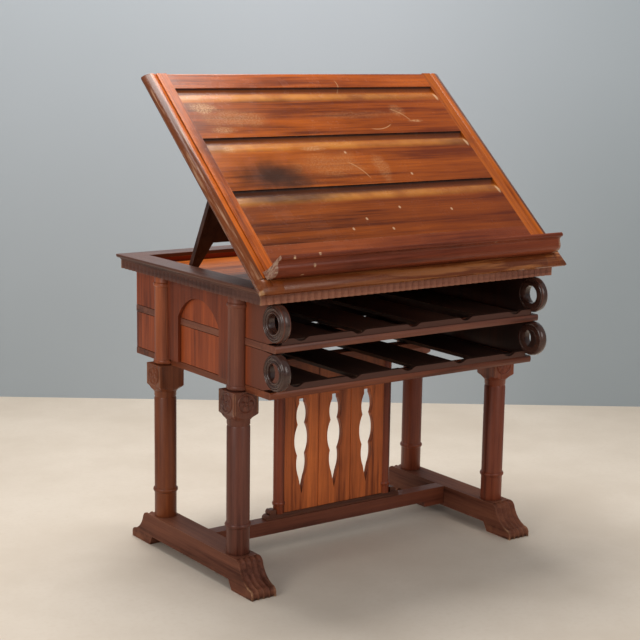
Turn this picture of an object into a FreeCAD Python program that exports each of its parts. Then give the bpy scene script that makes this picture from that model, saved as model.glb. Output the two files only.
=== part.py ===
import FreeCAD, Part
import math
import os
import Sketcher

V = FreeCAD.Vector
doc = FreeCAD.newDocument("library_lectern")
sheet = doc.addObject("Spreadsheet::Sheet", "Sizes")

# Driving sizes in millimetres and degrees. X runs to the right, the reader stands on the -Y side, Z is up.
# The floor is z = 0 and the middle of the whole footprint is x = y = 0.
NUMBERS = {
    # whole case
    "case_setback": 27.3,
    "frame_half_width": 490,
    "column_half_depth": 209,
    "frame_underside": 583,
    "running_gap": 0.4,
    "overrun": 20,
    # feet and stretcher
    "foot_width": 82,
    "foot_height": 98,
    "foot_nose": 141,
    "foot_flat": 45,
    "foot_shoulder_run": 27,
    "foot_shoulder_height": 80,
    "foot_toe_run": 18,
    "foot_toe_height": 30,
    "foot_toe_lip": 18,
    "foot_pad": 110,
    "foot_arch_height": 29,
    "foot_arch_slope": 18,
    "foot_flute_edge": 4,
    "foot_flute_land": 1.5,
    "foot_flute_depth": 5,
    "stretcher_width": 44,
    "stretcher_depth": 43,
    "glue_block_length": 83,
    "glue_block_depth": 17,
    # columns with their cushion capitals
    "column_radius": 34,
    "column_ring_rise": 79,
    "column_ring_height": 15,
    "column_ring_swell": 4.5,
    "capital_width": 82,
    "capital_height": 83,
    "capital_bowl_radius": 60,
    "neck_radius": 36,
    "neck_height": 9,
    "neck_drop": 20,
    # half columns beside the trays
    "half_column_radius": 32,
    "half_base_height": 17,
    "half_base_swell": 4,
    "half_ring_drop": 21,
    "half_ring_height": 14,
    "half_ring_swell": 4,
    # pierced screen under the case
    "screen_thickness": 18,
    "screen_half_width": 207,
    "screen_joint": 62.5,
    "screen_groove": 2.5,
    "colonnette_radius": 17.5,
    "colonnette_ring_rise": 39,
    "colonnette_ring_height": 14,
    "colonnette_ring_swell": 3,
    "colonnette_slot": 6,
    "sill_height": 14,
    "sill_depth": 28,
    "sill_block_length": 35,
    "sill_block_height": 30,
    "piercing_head": 113,
    "piercing_foot": 51,
    "piercing_width": 58,
    # shelf frames that carry the trays
    "shelf_thickness": 20,
    "lower_shelf_front": 370,
    "upper_shelf_front": 395,
    "shelf_rear": 390,
    "shelf_rail_depth": 75,
    "shelf_runner_width": 45,
    "shelf_middle_depth": 50,
    "shelf_nose": 10,
    "lower_bay_height": 115,
    "upper_bay_height": 119,
    # arched side boards
    "arch_thickness": 9.5,
    "arch_margin": 94,
    "arch_spring_drop": 113,
    "arch_crown_drop": 44,
    # case top
    "frieze_side_overhang": 50,
    "frieze_end_overhang": 4,
    "frieze_width": 63,
    "frieze_height": 33,
    "frieze_bead": 5,
    "gouge_pitch": 23,
    "gouge_width": 15,
    "gouge_depth": 4,
    "gouge_headland": 4,
    "gouge_margin": 12,
    "cap_overhang": 11.5,
    "cap_thickness": 11,
    "well_floor_thickness": 17,
    # book trays
    "tray_outer_gap": 1.5,
    "tray_board": 22.5,
    "tray_headroom": 1.5,
    "upper_ring_setback": 14,
    "lower_ring_setback": 9,
    "ring_margin": 5,
    "ring_hole": 29,
    "tray_rail_thickness": 16,
    "tray_rail_height": 17,
    "tray_scallop_depth": 8,
    "tray_scallop_width": 56,
    "slat_thickness": 10,
    "slat_lift": 3,
    "tray_travel": 380,
    # reading board
    "board_tilt": 40.79,
    "board_length": 850,
    "board_side_overhang": 26,
    "board_thickness": 22,
    "stile_width": 79,
    "nosing_width": 45,
    "nosing_quirk": 3.5,
    "nosing_fall": 15,
    "top_nosing_width": 9,
    "top_rail_width": 64,
    "bottom_rail_width": 156,
    "groove_step_width": 8,
    "groove_step_depth": 6,
    "groove_cove_width": 10,
    "groove_bevel_width": 13,
    "groove_bevel_depth": 3,
    # book stop on the reading board
    "stop_inset": 34,
    "stop_end_splay": 14,
    "stop_front": 31,
    "stop_depth": 35,
    "stop_height": 80,
    # board hinges on the front edge of the case
    "hinge_reach": 3.5,
    "hinge_rise": 0.5,
    "hinge_barrel_radius": 2.7,
    "hinge_pin_radius": 1.2,
    "hinge_half_length": 30,
    "hinge_leaf": 1.5,
    "hinge_leaf_reach": 25,
    "hinge_end_distance": 157,
    "board_lap": 25,
    "board_edge_drop": 5,
    # prop behind the reading board
    "prop_pivot_offset": 15.1,
    "prop_tilt": 27.32,
    "prop_side_play": 13,
    "prop_thickness": 16,
    "prop_foot_width": 20,
    "prop_leg_width": 52,
    "prop_opening_height": 105,
    "prop_notch_half": 30,
    "prop_notch_depth": 13,
    "prop_hinge_end_distance": 164,
    "prop_barrel_radius": 5,
    "prop_pin_radius": 2.2,
    "prop_pin_reach": 12,
    "prop_leaf": 2,
    "prop_leaf_reach": 32,
    # racks that hold the prop's foot
    "rack_width": 20,
    "rack_height": 10,
    "rack_root": 2,
    "rack_pitch": 60,
    "rack_end_gap": 30,
}

for row, (word, number) in enumerate(NUMBERS.items(), 1):
    sheet.set(f"A{row}", word)
    sheet.set(f"B{row}", str(number))
    sheet.setAlias(f"B{row}", word)
doc.recompute()


class Size:
    """A size with its value and the formula that ties it to the sheet."""

    def __init__(self, value, text):
        self.value = value
        self.text = text

    def __add__(self, other):
        other = as_size(other)
        return Size(self.value + other.value, f"({self.text} + {other.text})")

    def __radd__(self, other):
        return as_size(other) + self

    def __sub__(self, other):
        other = as_size(other)
        return Size(self.value - other.value, f"({self.text} - {other.text})")

    def __rsub__(self, other):
        return as_size(other) - self

    def __mul__(self, other):
        other = as_size(other)
        return Size(self.value * other.value, f"({self.text} * {other.text})")

    def __rmul__(self, other):
        return self * other

    def __truediv__(self, other):
        other = as_size(other)
        return Size(self.value / other.value, f"({self.text} / {other.text})")

    def __neg__(self):
        return Size(-self.value, f"(-1 * {self.text})")


def as_size(item):
    return item if isinstance(item, Size) else Size(float(item), repr(float(item)))


def sine(angle):
    return Size(math.sin(math.radians(angle.value)), f"sin({angle.text})")


def cosine(angle):
    return Size(math.cos(math.radians(angle.value)), f"cos({angle.text})")


def leg(long_side, side):
    """Third side of a right-angled triangle."""
    value = math.sqrt(long_side.value ** 2 - side.value ** 2)
    return Size(value, f"sqrt({long_side.text}^2 - {side.text}^2)")


class Sizes:
    def __getattr__(self, word):
        return Size(float(NUMBERS[word]), f"Sizes.{word}")


s = Sizes()
nodes = []

# The three origin planes: role, sign of the plane's normal along its axis.
PLANES = {"XY": ("XY_Plane", 1), "XZ": ("XZ_Plane", -1), "YZ": ("YZ_Plane", 1)}


def tie(item, prop, size):
    """Bind one property to the sheet."""
    item.setExpression(prop, as_size(size).text)


def arc(across, up):
    """A point that the arc to the next corner passes through."""
    return ("arc", as_size(across), as_size(up))


def outline(body, plane, path, height, closed=True):
    """Outline with every corner tied to the sheet, at a height along the plane's normal."""
    role, sign = PLANES[plane]
    item = body.newObject("Sketcher::SketchObject", "Outline")
    item.AttachmentSupport = [(next(f for f in body.Origin.OriginFeatures if f.Role == role), "")]
    item.MapMode = "FlatFace"
    tie(item, "AttachmentOffset.Base.z", height)
    corners = []
    bends = {}
    for point in path:
        if point[0] == "arc":
            bends[len(corners) - 1] = point[1:]
        else:
            corners.append((as_size(point[0]), as_size(point[1])))
    edges = []
    turned_round = set()
    sides = len(corners) if closed else len(corners) - 1
    for index, (across, up) in enumerate(corners[:sides]):
        after = corners[(index + 1) % len(corners)]
        start = V(across.value, up.value, 0)
        end = V(after[0].value, after[1].value, 0)
        if index in bends:
            middle = V(bends[index][0].value, bends[index][1].value, 0)
            if (middle - start).cross(end - middle).z < 0:
                turned_round.add(index)
                start, end = end, start
            edges.append(Part.Arc(start, middle, end))
        else:
            edges.append(Part.LineSegment(start, end))
    item.addGeometry(edges, False)
    first = [2 if index in turned_round else 1 for index in range(sides)]
    rules = []
    ties = []
    for index, (across, up) in enumerate(corners):
        before = (index - 1) % len(corners)
        if closed or 0 < index < sides:
            rules.append(Sketcher.Constraint("Coincident", before, 3 - first[before], index, first[index]))
        side, end = (index, first[index]) if index < sides else (before, 3 - first[before])
        for kind, size, axis in (("DistanceX", across, -2), ("DistanceY", up, -1)):
            if size.text == "0.0":
                rules.append(Sketcher.Constraint("PointOnObject", side, end, axis))
            else:
                ties.append((len(rules), size))
                rules.append(Sketcher.Constraint(kind, -1, 1, side, end, size.value))
    for index, bend in bends.items():
        point = item.addGeometry(Part.Point(V(bend[0].value, bend[1].value, 0)), True)
        rules.append(Sketcher.Constraint("PointOnObject", point, 1, index))
        for kind, size, axis in (("DistanceX", bend[0], -2), ("DistanceY", bend[1], -1)):
            if size.text == "0.0":
                rules.append(Sketcher.Constraint("PointOnObject", point, 1, axis))
            else:
                ties.append((len(rules), size))
                rules.append(Sketcher.Constraint(kind, -1, 1, point, 1, size.value))
    item.addConstraint(rules)
    for number, size in ties:
        tie(item, f"Constraints[{number}]", size)
    return item


def circle(body, plane, across, up, radius, height):
    """Round outline tied to the sheet, at a height along the plane's normal."""
    role, sign = PLANES[plane]
    item = body.newObject("Sketcher::SketchObject", "Round")
    item.AttachmentSupport = [(next(f for f in body.Origin.OriginFeatures if f.Role == role), "")]
    item.MapMode = "FlatFace"
    tie(item, "AttachmentOffset.Base.z", height)
    across, up, radius = as_size(across), as_size(up), as_size(radius)
    item.addGeometry(Part.Circle(V(across.value, up.value, 0), V(0, 0, 1), radius.value), False)
    rules = [Sketcher.Constraint("Radius", 0, radius.value)]
    ties = [(0, radius)]
    for kind, size, axis in (("DistanceX", across, -2), ("DistanceY", up, -1)):
        if size.text == "0.0":
            rules.append(Sketcher.Constraint("PointOnObject", 0, 3, axis))
        else:
            ties.append((len(rules), size))
            rules.append(Sketcher.Constraint(kind, -1, 1, 0, 3, size.value))
    item.addConstraint(rules)
    for number, size in ties:
        tie(item, f"Constraints[{number}]", size)
    return item


def disc(across, up, radius):
    """Round outline for a pad or a pocket."""
    return lambda body, plane, height: circle(body, plane, across, up, radius, height)


def place(item, x=0, y=0, z=0, turn=None, axis=V(1, 0, 0)):
    """Put a piece in the case: y is measured from the middle of the case."""
    item.Placement = FreeCAD.Placement(V(), FreeCAD.Rotation(axis, turn.value if turn else 0))
    tie(item, "Placement.Base.x", x)
    tie(item, "Placement.Base.y", y + s.case_setback)
    tie(item, "Placement.Base.z", z)
    if turn:
        tie(item, "Placement.Rotation.Angle", turn)


def new_body(label):
    item = doc.addObject("PartDesign::Body", label)
    item.Label = label
    return item


def span(plane, low, high):
    """Heights along the plane's normal between two places on its axis."""
    low, high = as_size(low), as_size(high)
    return (-high, -low) if plane == "XZ" else (low, high)


def pad(body, plane, path, low, high):
    """Solid between two places along the axis that the plane faces."""
    bottom, top = span(plane, low, high)
    made = path(body, plane, bottom) if callable(path) else outline(body, plane, path, bottom)
    item = body.newObject("PartDesign::Pad", "Pad")
    item.Profile = made
    tie(item, "Length", top - bottom)
    return item


def pocket(body, plane, path, low, high):
    """Cut between two places along the axis that the plane faces."""
    bottom, top = span(plane, low, high)
    made = path(body, plane, top) if callable(path) else outline(body, plane, path, top)
    item = body.newObject("PartDesign::Pocket", "Pocket")
    item.Profile = made
    tie(item, "Length", top - bottom)
    cuts.append(item)
    return item


def turned(body, path, angle=360):
    """Turned solid about the upright axis of the XZ plane."""
    made = outline(body, "XZ", path, 0)
    item = body.newObject("PartDesign::Revolution", "Turning")
    item.Profile = made
    item.ReferenceAxis = (made, ["V_Axis"])
    item.Angle = angle
    return item


def swept_cut(body, section, spine):
    """Cut a section along an open line."""
    item = body.newObject("PartDesign::SubtractivePipe", "Flute")
    item.Profile = section
    item.Spine = (spine, [""])
    cuts.append(item)
    return item


def row(body, feature, length, count):
    """Copies of a cut, spread evenly to the right over a length."""
    item = body.newObject("PartDesign::LinearPattern", "Row")
    item.Originals = [feature]
    item.Direction = (next(f for f in body.Origin.OriginFeatures if f.Role == "X_Axis"), [""])
    item.Occurrences = count
    tie(item, "Length", length)
    body.Tip = item
    return item


def node(item, label=None):
    if label:
        item.Label = label
    nodes.append(item)
    return item


def block(label, low, high):
    """Plain board between two corners given from the middle of the case."""
    item = doc.addObject("Part::Box", label)
    item.Label = label
    for prop, axis in (("Length", 0), ("Width", 1), ("Height", 2)):
        tie(item, prop, as_size(high[axis]) - low[axis])
    place(item, *low)
    return item


cuts = []
SIDES = ((-1, "left"), (1, "right"))
ENDS = ((-1, "front"), (1, "rear"))

# Heights that the pieces share.
foot_top = s.foot_height
lower_shelf_top = s.frame_underside + s.shelf_thickness
upper_shelf_bottom = lower_shelf_top + s.lower_bay_height
upper_shelf_top = upper_shelf_bottom + s.shelf_thickness
frieze_bottom = upper_shelf_top + s.upper_bay_height
well_floor = frieze_bottom + s.well_floor_thickness
frieze_top = frieze_bottom + s.frieze_height
case_top = frieze_top + s.cap_thickness
frieze_half_width = s.frame_half_width + s.frieze_side_overhang
frieze_half_depth = s.shelf_rear + s.frieze_end_overhang
well_half_width = frieze_half_width - s.frieze_width
well_half_depth = frieze_half_depth - s.frieze_width

# Feet: long sledge feet, arched underneath so that they stand on their two ends. Each end falls in an ogee
# to a small rolled toe and has four flutes run down it.
FLUTES = 4
foot_half_length = s.column_half_depth + s.foot_nose
foot_flat_half = s.column_half_depth + s.foot_flat
foot_arch_half = foot_half_length - s.foot_pad
flute_pitch = (s.foot_width - s.foot_flute_edge * 2) / FLUTES
flute_half = (flute_pitch - s.foot_flute_land) / 2


def ogee(end):
    """Line of a foot's end from its flat top down to the tip of its toe."""
    fall = foot_top - s.foot_shoulder_height
    drop = s.foot_shoulder_height - s.foot_toe_height
    return [
        (end * foot_flat_half, foot_top),
        arc(end * (foot_flat_half + s.foot_shoulder_run * 0.72), s.foot_shoulder_height + fall * 0.72),
        (end * (foot_flat_half + s.foot_shoulder_run), s.foot_shoulder_height),
        arc(end * (foot_flat_half + s.foot_shoulder_run * 1.75), s.foot_toe_height + drop * 0.36),
        (end * (foot_half_length - s.foot_toe_run), s.foot_toe_height),
        arc(end * (foot_half_length - s.foot_toe_run * 0.25), s.foot_toe_height * 0.82),
        (end * foot_half_length, s.foot_toe_lip * 0.6)]


for sign, side in SIDES:
    foot = new_body(f"foot_{side}")
    front, rear = [ogee(end) + [(end * foot_half_length, 0), (end * foot_arch_half, 0),
                                (end * (foot_arch_half - s.foot_arch_slope), s.foot_arch_height)]
                   for end in (-1, 1)]
    pad(foot, "YZ", front + rear[::-1], s.foot_width / -2, s.foot_width / 2)
    for end in (-1, 1):
        first = flute_pitch * (FLUTES - 1) / -2
        bed = foot_top - s.foot_flute_depth
        section = outline(foot, "XZ",
                          [(first - flute_half, foot_top + s.foot_flute_depth),
                           (first - flute_half, foot_top), (first - flute_half * 0.45, bed),
                           (first + flute_half * 0.45, bed), (first + flute_half, foot_top),
                           (first + flute_half, foot_top + s.foot_flute_depth)],
                          foot_flat_half * -end)
        spine = outline(foot, "YZ", ogee(end) + [(end * foot_half_length, -s.overrun)], first, closed=False)
        row(foot, swept_cut(foot, section, spine), flute_pitch * (FLUTES - 1), FLUTES)
    place(foot, sign * s.frame_half_width)
    node(foot)

# Stretcher between the feet, with a glue block under each end.
stretcher = new_body("stretcher")
stretcher_end = s.frame_half_width - s.foot_width / 2
block_end = stretcher_end - s.glue_block_length
stretcher_bottom = foot_top - s.stretcher_depth
block_bottom = stretcher_bottom - s.glue_block_depth
pad(stretcher, "XZ",
    [(-stretcher_end, foot_top), (-stretcher_end, block_bottom), (-block_end, block_bottom),
     (-block_end, stretcher_bottom), (block_end, stretcher_bottom), (block_end, block_bottom),
     (stretcher_end, block_bottom), (stretcher_end, foot_top)],
    s.stretcher_width / -2, s.stretcher_width / 2)
place(stretcher)
node(stretcher)

# Columns: turned shafts with a ring low down and a V groove at the neck. Each cushion capital is what a half
# ball and the square block under the case have in common.
column_height = s.frame_underside - foot_top - s.capital_height
for sign, side in SIDES:
    for end, name in ENDS:
        label = f"column_{name}_{side}"
        shaft = new_body(f"{label}_shaft")
        ring = s.column_ring_rise
        swell = s.column_radius + s.column_ring_swell
        neck = column_height - s.neck_drop
        turned(shaft, [
            (0, 0), (s.column_radius, 0), (s.column_radius, ring),
            arc(swell, ring + s.column_ring_height / 2),
            (s.column_radius, ring + s.column_ring_height), (s.column_radius, neck - s.neck_height / 2),
            (s.column_radius - s.column_ring_swell / 2, neck),
            (s.column_radius, neck + s.neck_height / 2), (s.column_radius, column_height),
            (0, column_height)])
        place(shaft, sign * s.frame_half_width, end * s.column_half_depth, foot_top)
        bowl = new_body(f"{label}_bowl")
        rise = leg(s.capital_bowl_radius, s.neck_radius)
        steep = math.radians(65)
        turned(bowl, [
            (0, 0), (s.neck_radius, 0),
            arc(s.capital_bowl_radius * math.sin(steep), rise - s.capital_bowl_radius * math.cos(steep)),
            (s.capital_bowl_radius, rise), (s.capital_bowl_radius, s.capital_height), (0, s.capital_height)])
        place(bowl, sign * s.frame_half_width, end * s.column_half_depth, foot_top + column_height)
        half = s.capital_width / 2
        square = block(f"{label}_square",
                       (sign * s.frame_half_width - half, end * s.column_half_depth - half,
                        foot_top + column_height),
                       (sign * s.frame_half_width + half, end * s.column_half_depth + half,
                        s.frame_underside))
        capital = doc.addObject("Part::Common", f"{label}_capital")
        capital.Base = bowl
        capital.Tool = square
        column = doc.addObject("Part::Fuse", label)
        column.Base = shaft
        column.Tool = capital
        node(column, label)

# Half columns: stand on the capitals beside the trays and carry the frieze.
half_height = frieze_bottom - s.frame_underside


def half_column(label, sign, end):
    item = new_body(label)
    top = half_height - s.half_ring_drop
    low = top - s.half_ring_height
    turned(item, [
        (0, 0), (s.half_column_radius, 0),
        arc(s.half_column_radius + s.half_base_swell, s.half_base_height / 2),
        (s.half_column_radius, s.half_base_height), (s.half_column_radius, low),
        arc(s.half_column_radius + s.half_ring_swell, low + s.half_ring_height / 2),
        (s.half_column_radius, top), (s.half_column_radius, half_height), (0, half_height)], 180)
    quarter = 90 if sign < 0 else -90
    place(item, sign * s.frame_half_width, end * s.column_half_depth, s.frame_underside,
          Size(quarter, str(quarter)), V(0, 0, 1))
    return item


for sign, side in SIDES:
    for end, name in ENDS:
        node(half_column(f"half_column_{name}_{side}", sign, end))

# Pierced screen: sill, two colonnettes and three boards with a baluster-shaped piercing in each.
screen_edge = s.screen_half_width - s.colonnette_radius
board_bottom = foot_top + s.sill_height
board_edge = screen_edge + s.colonnette_slot
sill = new_body("screen_sill")
sill_inner = s.screen_half_width + s.colonnette_radius
sill_outer = sill_inner + s.sill_block_length
sill_path = []
for end in (-1, 1):
    sill_path.append([
        (end * sill_inner, s.sill_height), (end * sill_inner, s.sill_block_height),
        (end * (sill_inner + s.sill_block_length * 0.3), s.sill_block_height),
        arc(end * (sill_inner + s.sill_block_length * 0.62), s.sill_block_height * 0.84),
        (end * (sill_inner + s.sill_block_length * 0.6), s.sill_block_height * 0.5),
        arc(end * (sill_inner + s.sill_block_length * 0.92), s.sill_block_height * 0.4),
        (end * sill_outer, 0)])
left, right = sill_path
pad(sill, "XZ", left + [right[6], right[5], right[4], right[3], right[2], right[1], right[0]],
    s.sill_depth / -2, s.sill_depth / 2)
place(sill, 0, 0, foot_top)
node(sill)

for sign, side in SIDES:
    rod = new_body(f"colonnette_{side}_rod")
    rod_height = s.frame_underside - board_bottom
    ring = s.colonnette_ring_rise - s.sill_height
    turned(rod, [
        (0, 0), (s.colonnette_radius, 0), (s.colonnette_radius, ring),
        arc(s.colonnette_radius + s.colonnette_ring_swell, ring + s.colonnette_ring_height / 2),
        (s.colonnette_radius, ring + s.colonnette_ring_height), (s.colonnette_radius, rod_height),
        (0, rod_height)])
    place(rod, sign * s.screen_half_width, 0, board_bottom)
    edge = sign * s.screen_half_width
    inner = sign * board_edge
    far = sign * (screen_edge - s.colonnette_ring_swell - s.overrun)
    low, high = (far, inner) if sign > 0 else (inner, far)
    slot = block(f"colonnette_{side}_slot",
                 (low, s.screen_thickness / -2, board_bottom),
                 (high, s.screen_thickness / 2, s.frame_underside))
    colonnette = doc.addObject("Part::Cut", f"screen_colonnette_{side}")
    colonnette.Base = rod
    colonnette.Tool = slot
    node(colonnette, f"screen_colonnette_{side}")

PIERCING_SHARES = (
    (0.22, 0.05), (0.37, 0.13), (0.30, 0.27), (0.50, 0.40), (0.32, 0.59), (0.37, 0.69), (0.22, 0.82),
    (0.23, 0.89))
for low, high, name in ((-board_edge, -s.screen_joint, "left"), (-s.screen_joint, s.screen_joint, "middle"),
                        (s.screen_joint, board_edge, "right")):
    board = new_body(f"screen_board_{name}")
    face = s.screen_thickness / 2
    eased = face - s.screen_groove
    left_joint = low if name == "left" else low + s.screen_groove
    right_joint = high if name == "right" else high - s.screen_groove
    path = [(low, -eased), (left_joint, -face), (right_joint, -face), (high, -eased),
            (high, eased), (right_joint, face), (left_joint, face), (low, eased)]
    if name == "left":
        path = [(low, -face)] + path[2:6] + [(low, face)]
    if name == "right":
        path = [path[0], path[1], (high, -face), (high, face), path[6], path[7]]
    pad(board, "XY", path, board_bottom, s.frame_underside)
    middle = {"left": (s.screen_joint + screen_edge) / -2, "middle": as_size(0),
              "right": (s.screen_joint + screen_edge) / 2}[name]
    top = s.frame_underside - s.piercing_head
    length = top - board_bottom - s.piercing_foot

    def at(side, number):
        wide, down = PIERCING_SHARES[number]
        return (middle + side * s.piercing_width * wide, top - length * down)

    def through(side, number):
        return arc(*at(side, number))

    head = s.piercing_width * PIERCING_SHARES[0][0]
    path = [(middle + head, top), (middle - head, top)]
    path += [at(-1, 0), through(-1, 1), at(-1, 2), through(-1, 3), at(-1, 4), through(-1, 5), at(-1, 6),
             (middle, top - length)]
    path += [at(1, 6), through(1, 5), at(1, 4), through(1, 3), at(1, 2), through(1, 1), at(1, 0)]
    pocket(board, "XZ", path, -face - s.overrun, face + s.overrun)
    place(board)
    node(board)

# Shelf frames: the lower one on the capitals, the upper one between the trays.
for name, bottom, front in (("lower", s.frame_underside, s.lower_shelf_front),
                            ("upper", upper_shelf_bottom, s.upper_shelf_front)):
    top = bottom + s.shelf_thickness
    rail = new_body(f"{name}_shelf_front")
    back = s.shelf_rail_depth - front
    nose = s.shelf_nose * 0.3
    pad(rail, "YZ",
        [(-front + nose, 0), (back, 0), (back, s.shelf_thickness), (-front + nose, s.shelf_thickness),
         arc(-front, s.shelf_thickness / 2)], -s.frame_half_width, s.frame_half_width)
    place(rail, 0, 0, bottom)
    node(rail)
    node(block(f"{name}_shelf_rear", (-s.frame_half_width, s.shelf_rear - s.shelf_rail_depth, bottom),
               (s.frame_half_width, s.shelf_rear, top)))
    for sign, side in SIDES:
        inner = s.frame_half_width - s.shelf_runner_width
        low, high = (inner, s.frame_half_width) if sign > 0 else (-s.frame_half_width, -inner)
        node(block(f"{name}_shelf_runner_{side}", (low, back, bottom),
                   (high, s.shelf_rear - s.shelf_rail_depth, top)))
    if name == "lower":
        inner = s.frame_half_width - s.shelf_runner_width
        node(block(f"{name}_shelf_middle", (-inner, s.shelf_middle_depth / -2, bottom),
                   (inner, s.shelf_middle_depth / 2, top)))

# Arched boards let in between the half columns at each side.
for sign, side in SIDES:
    blank = new_body(f"arch_{side}_blank")
    reach = s.column_half_depth - s.half_column_radius
    half_ring = half_height - s.half_ring_drop
    spring = frieze_bottom - s.arch_spring_drop
    crown = frieze_bottom - s.arch_crown_drop
    inner = s.column_half_depth - s.arch_margin
    low, high = (0, s.arch_thickness) if sign > 0 else (-s.arch_thickness, 0)
    pad(blank, "YZ",
        [(-reach, lower_shelf_top), (-inner, lower_shelf_top), (-inner, spring), arc(0, crown),
         (inner, spring), (inner, lower_shelf_top), (reach, lower_shelf_top), (reach, frieze_bottom),
         (-reach, frieze_bottom)], low, high)
    place(blank, sign * s.frame_half_width)
    tools = [half_column(f"arch_{side}_scribe_{name}", sign, end) for end, name in ENDS]
    scribe = doc.addObject("Part::MultiFuse", f"arch_{side}_scribes")
    scribe.Shapes = tools
    arch = doc.addObject("Part::Cut", f"arch_board_{side}")
    arch.Base = blank
    arch.Tool = scribe
    node(arch, f"arch_board_{side}")

# Case top: the frieze walls the well and has a row of upright V gouges under a small bead. The cap boards
# over it have a thumb-moulded edge. All of them are mitred at the corners.


def mitred(label, quarter, section, low):
    """Moulded board along one side of the well, drawn as the front one, mitred and turned to its side."""
    inner, half = (well_half_depth, well_half_width) if quarter % 2 == 0 else (
        well_half_width, well_half_depth)
    item = new_body(label)
    far = s.frieze_width + s.cap_overhang + s.overrun
    path = [arc(-inner - point[1], point[2]) if point[0] == "arc" else (-inner - point[0], point[1])
            for point in section]
    pad(item, "YZ", path, -half - far, half + far)
    for sign in (-1, 1):
        pocket(item, "XY",
               [(sign * half, -inner), (sign * (half + far), -inner - far),
                (sign * (half + far + s.overrun), -inner - far),
                (sign * (half + far + s.overrun), s.overrun - inner), (sign * half, s.overrun - inner)],
               -s.overrun, s.frieze_height + s.overrun)
    place(item, 0, 0, low, Size(90 * quarter, str(90 * quarter)), V(0, 0, 1))
    return node(item), inner + s.frieze_width, half + s.frieze_width


QUARTERS = ("front", "right", "rear", "left")
bead_foot = s.frieze_height - s.frieze_bead
frieze_section = [
    (0, 0), (s.frieze_width, 0), (s.frieze_width, bead_foot),
    arc(s.frieze_width + s.frieze_bead / 2, bead_foot + s.frieze_bead / 2),
    (s.frieze_width, s.frieze_height), (0, s.frieze_height)]
for quarter, end in enumerate(QUARTERS):
    rail, face, corner = mitred(f"frieze_{end}", quarter, frieze_section, frieze_bottom)
    count = math.floor((corner - s.gouge_margin).value * 2 / s.gouge_pitch.value) + 1
    first = s.gouge_pitch * (count - 1) / -2
    gouge = pocket(rail, "XY",
                   [(first - s.gouge_width / 2, -face - s.frieze_bead), (first - s.gouge_width / 2, -face),
                    (first, s.gouge_depth - face), (first + s.gouge_width / 2, -face),
                    (first + s.gouge_width / 2, -face - s.frieze_bead)],
                   -s.overrun, bead_foot - s.gouge_headland)
    row(rail, gouge, s.gouge_pitch * (count - 1), count)

edge = s.frieze_width + s.cap_overhang
cap_section = [
    (0, 0), (edge - s.cap_overhang * 0.65, 0), arc(edge - s.cap_overhang * 0.15, s.cap_thickness * 0.14),
    (edge, s.cap_thickness * 0.5), (edge, s.cap_thickness * 0.8),
    arc(edge - s.cap_thickness * 0.06, s.cap_thickness * 0.94),
    (edge - s.cap_thickness * 0.2, s.cap_thickness), (0, s.cap_thickness)]
for quarter, end in enumerate(QUARTERS):
    mitred(f"cap_{end}", quarter, cap_section, frieze_top)
node(block("well_floor", (-well_half_width, -well_half_depth, frieze_bottom),
           (well_half_width, well_half_depth, well_floor)))

# Reading board: built lying flat, with its front edge on y = 0 and its middle on z = 0, then tilted.
half_board = s.board_thickness / 2
slope_y = cosine(s.board_tilt)
slope_z = sine(s.board_tilt)
board_half_width = frieze_half_width + s.board_side_overhang
panel_half_width = board_half_width - s.stile_width
panel_pitch = (s.board_length - s.top_rail_width - s.bottom_rail_width) / 3
hinge_front = frieze_half_depth + s.cap_overhang + s.hinge_reach
hinge_half_spread = panel_half_width - s.hinge_end_distance
prop_half_width = well_half_width - s.prop_side_play
prop_hinge_half_spread = prop_half_width - s.prop_hinge_end_distance
prop_pivot_along = s.bottom_rail_width + panel_pitch * 1.5 + s.prop_pivot_offset
edge_y = -hinge_front - s.board_lap
edge_z = case_top - s.board_edge_drop


def on_board(along, up):
    """Place in the case of a point given along and above the tilted board's middle."""
    return (edge_y + along * slope_y - up * slope_z, edge_z + along * slope_z + up * slope_y)


def board_piece(item):
    place(item, 0, edge_y, edge_z, s.board_tilt)
    return node(item)


# Hinge line of the board, seen from the case and from the board.
hinge_y = -hinge_front
hinge_z = case_top + s.hinge_rise
hinge_along = (hinge_y - edge_y) * slope_y + (hinge_z - edge_z) * slope_z
hinge_up = (hinge_z - edge_z) * slope_y - (hinge_y - edge_y) * slope_z
barrel_room = s.hinge_barrel_radius + s.running_gap

roll_low = half_board - s.nosing_fall
roll_quirk = half_board - s.nosing_quirk


def rolled(edge, inward):
    """Moulded edge from the quirk out to the edge and down, as a path towards the underside."""
    return [(edge + inward * s.nosing_width, half_board), (edge + inward * s.nosing_width, roll_quirk),
            arc(edge + inward * s.nosing_width * 0.36, half_board - s.nosing_quirk * 0.7),
            (edge, roll_low), (edge + inward * s.nosing_fall * 0.1, -half_board)]


top_edge = s.board_length
front_waste = rolled(as_size(0), 1)
for sign, side in SIDES:
    stile = new_body(f"board_stile_{side}")
    edge = sign * board_half_width
    path = [(sign * panel_half_width, -half_board), (sign * panel_half_width, half_board)]
    path += rolled(edge, -sign)
    pad(stile, "XZ", path, 0, top_edge)
    low, high = (0, board_half_width + s.overrun) if sign > 0 else (-board_half_width - s.overrun, 0)
    waste = [(s.nosing_width, half_board + s.overrun)] + front_waste[1:] + [
        (s.nosing_fall * 0.1, -half_board - s.overrun), (-s.overrun, -half_board - s.overrun),
        (-s.overrun, half_board + s.overrun)]
    pocket(stile, "YZ", waste, low, high)
    board_piece(stile)

rail = new_body("board_rail_bottom")
pad(rail, "YZ",
    [(s.bottom_rail_width, -half_board), (s.bottom_rail_width, half_board)] + front_waste,
    -panel_half_width, panel_half_width)
for sign in (-1, 1):
    middle = sign * hinge_half_spread
    pocket(rail, "YZ", disc(hinge_along, hinge_up, barrel_room),
           middle - s.hinge_half_length - s.running_gap, middle + s.hinge_half_length + s.running_gap)
board_piece(rail)

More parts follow.
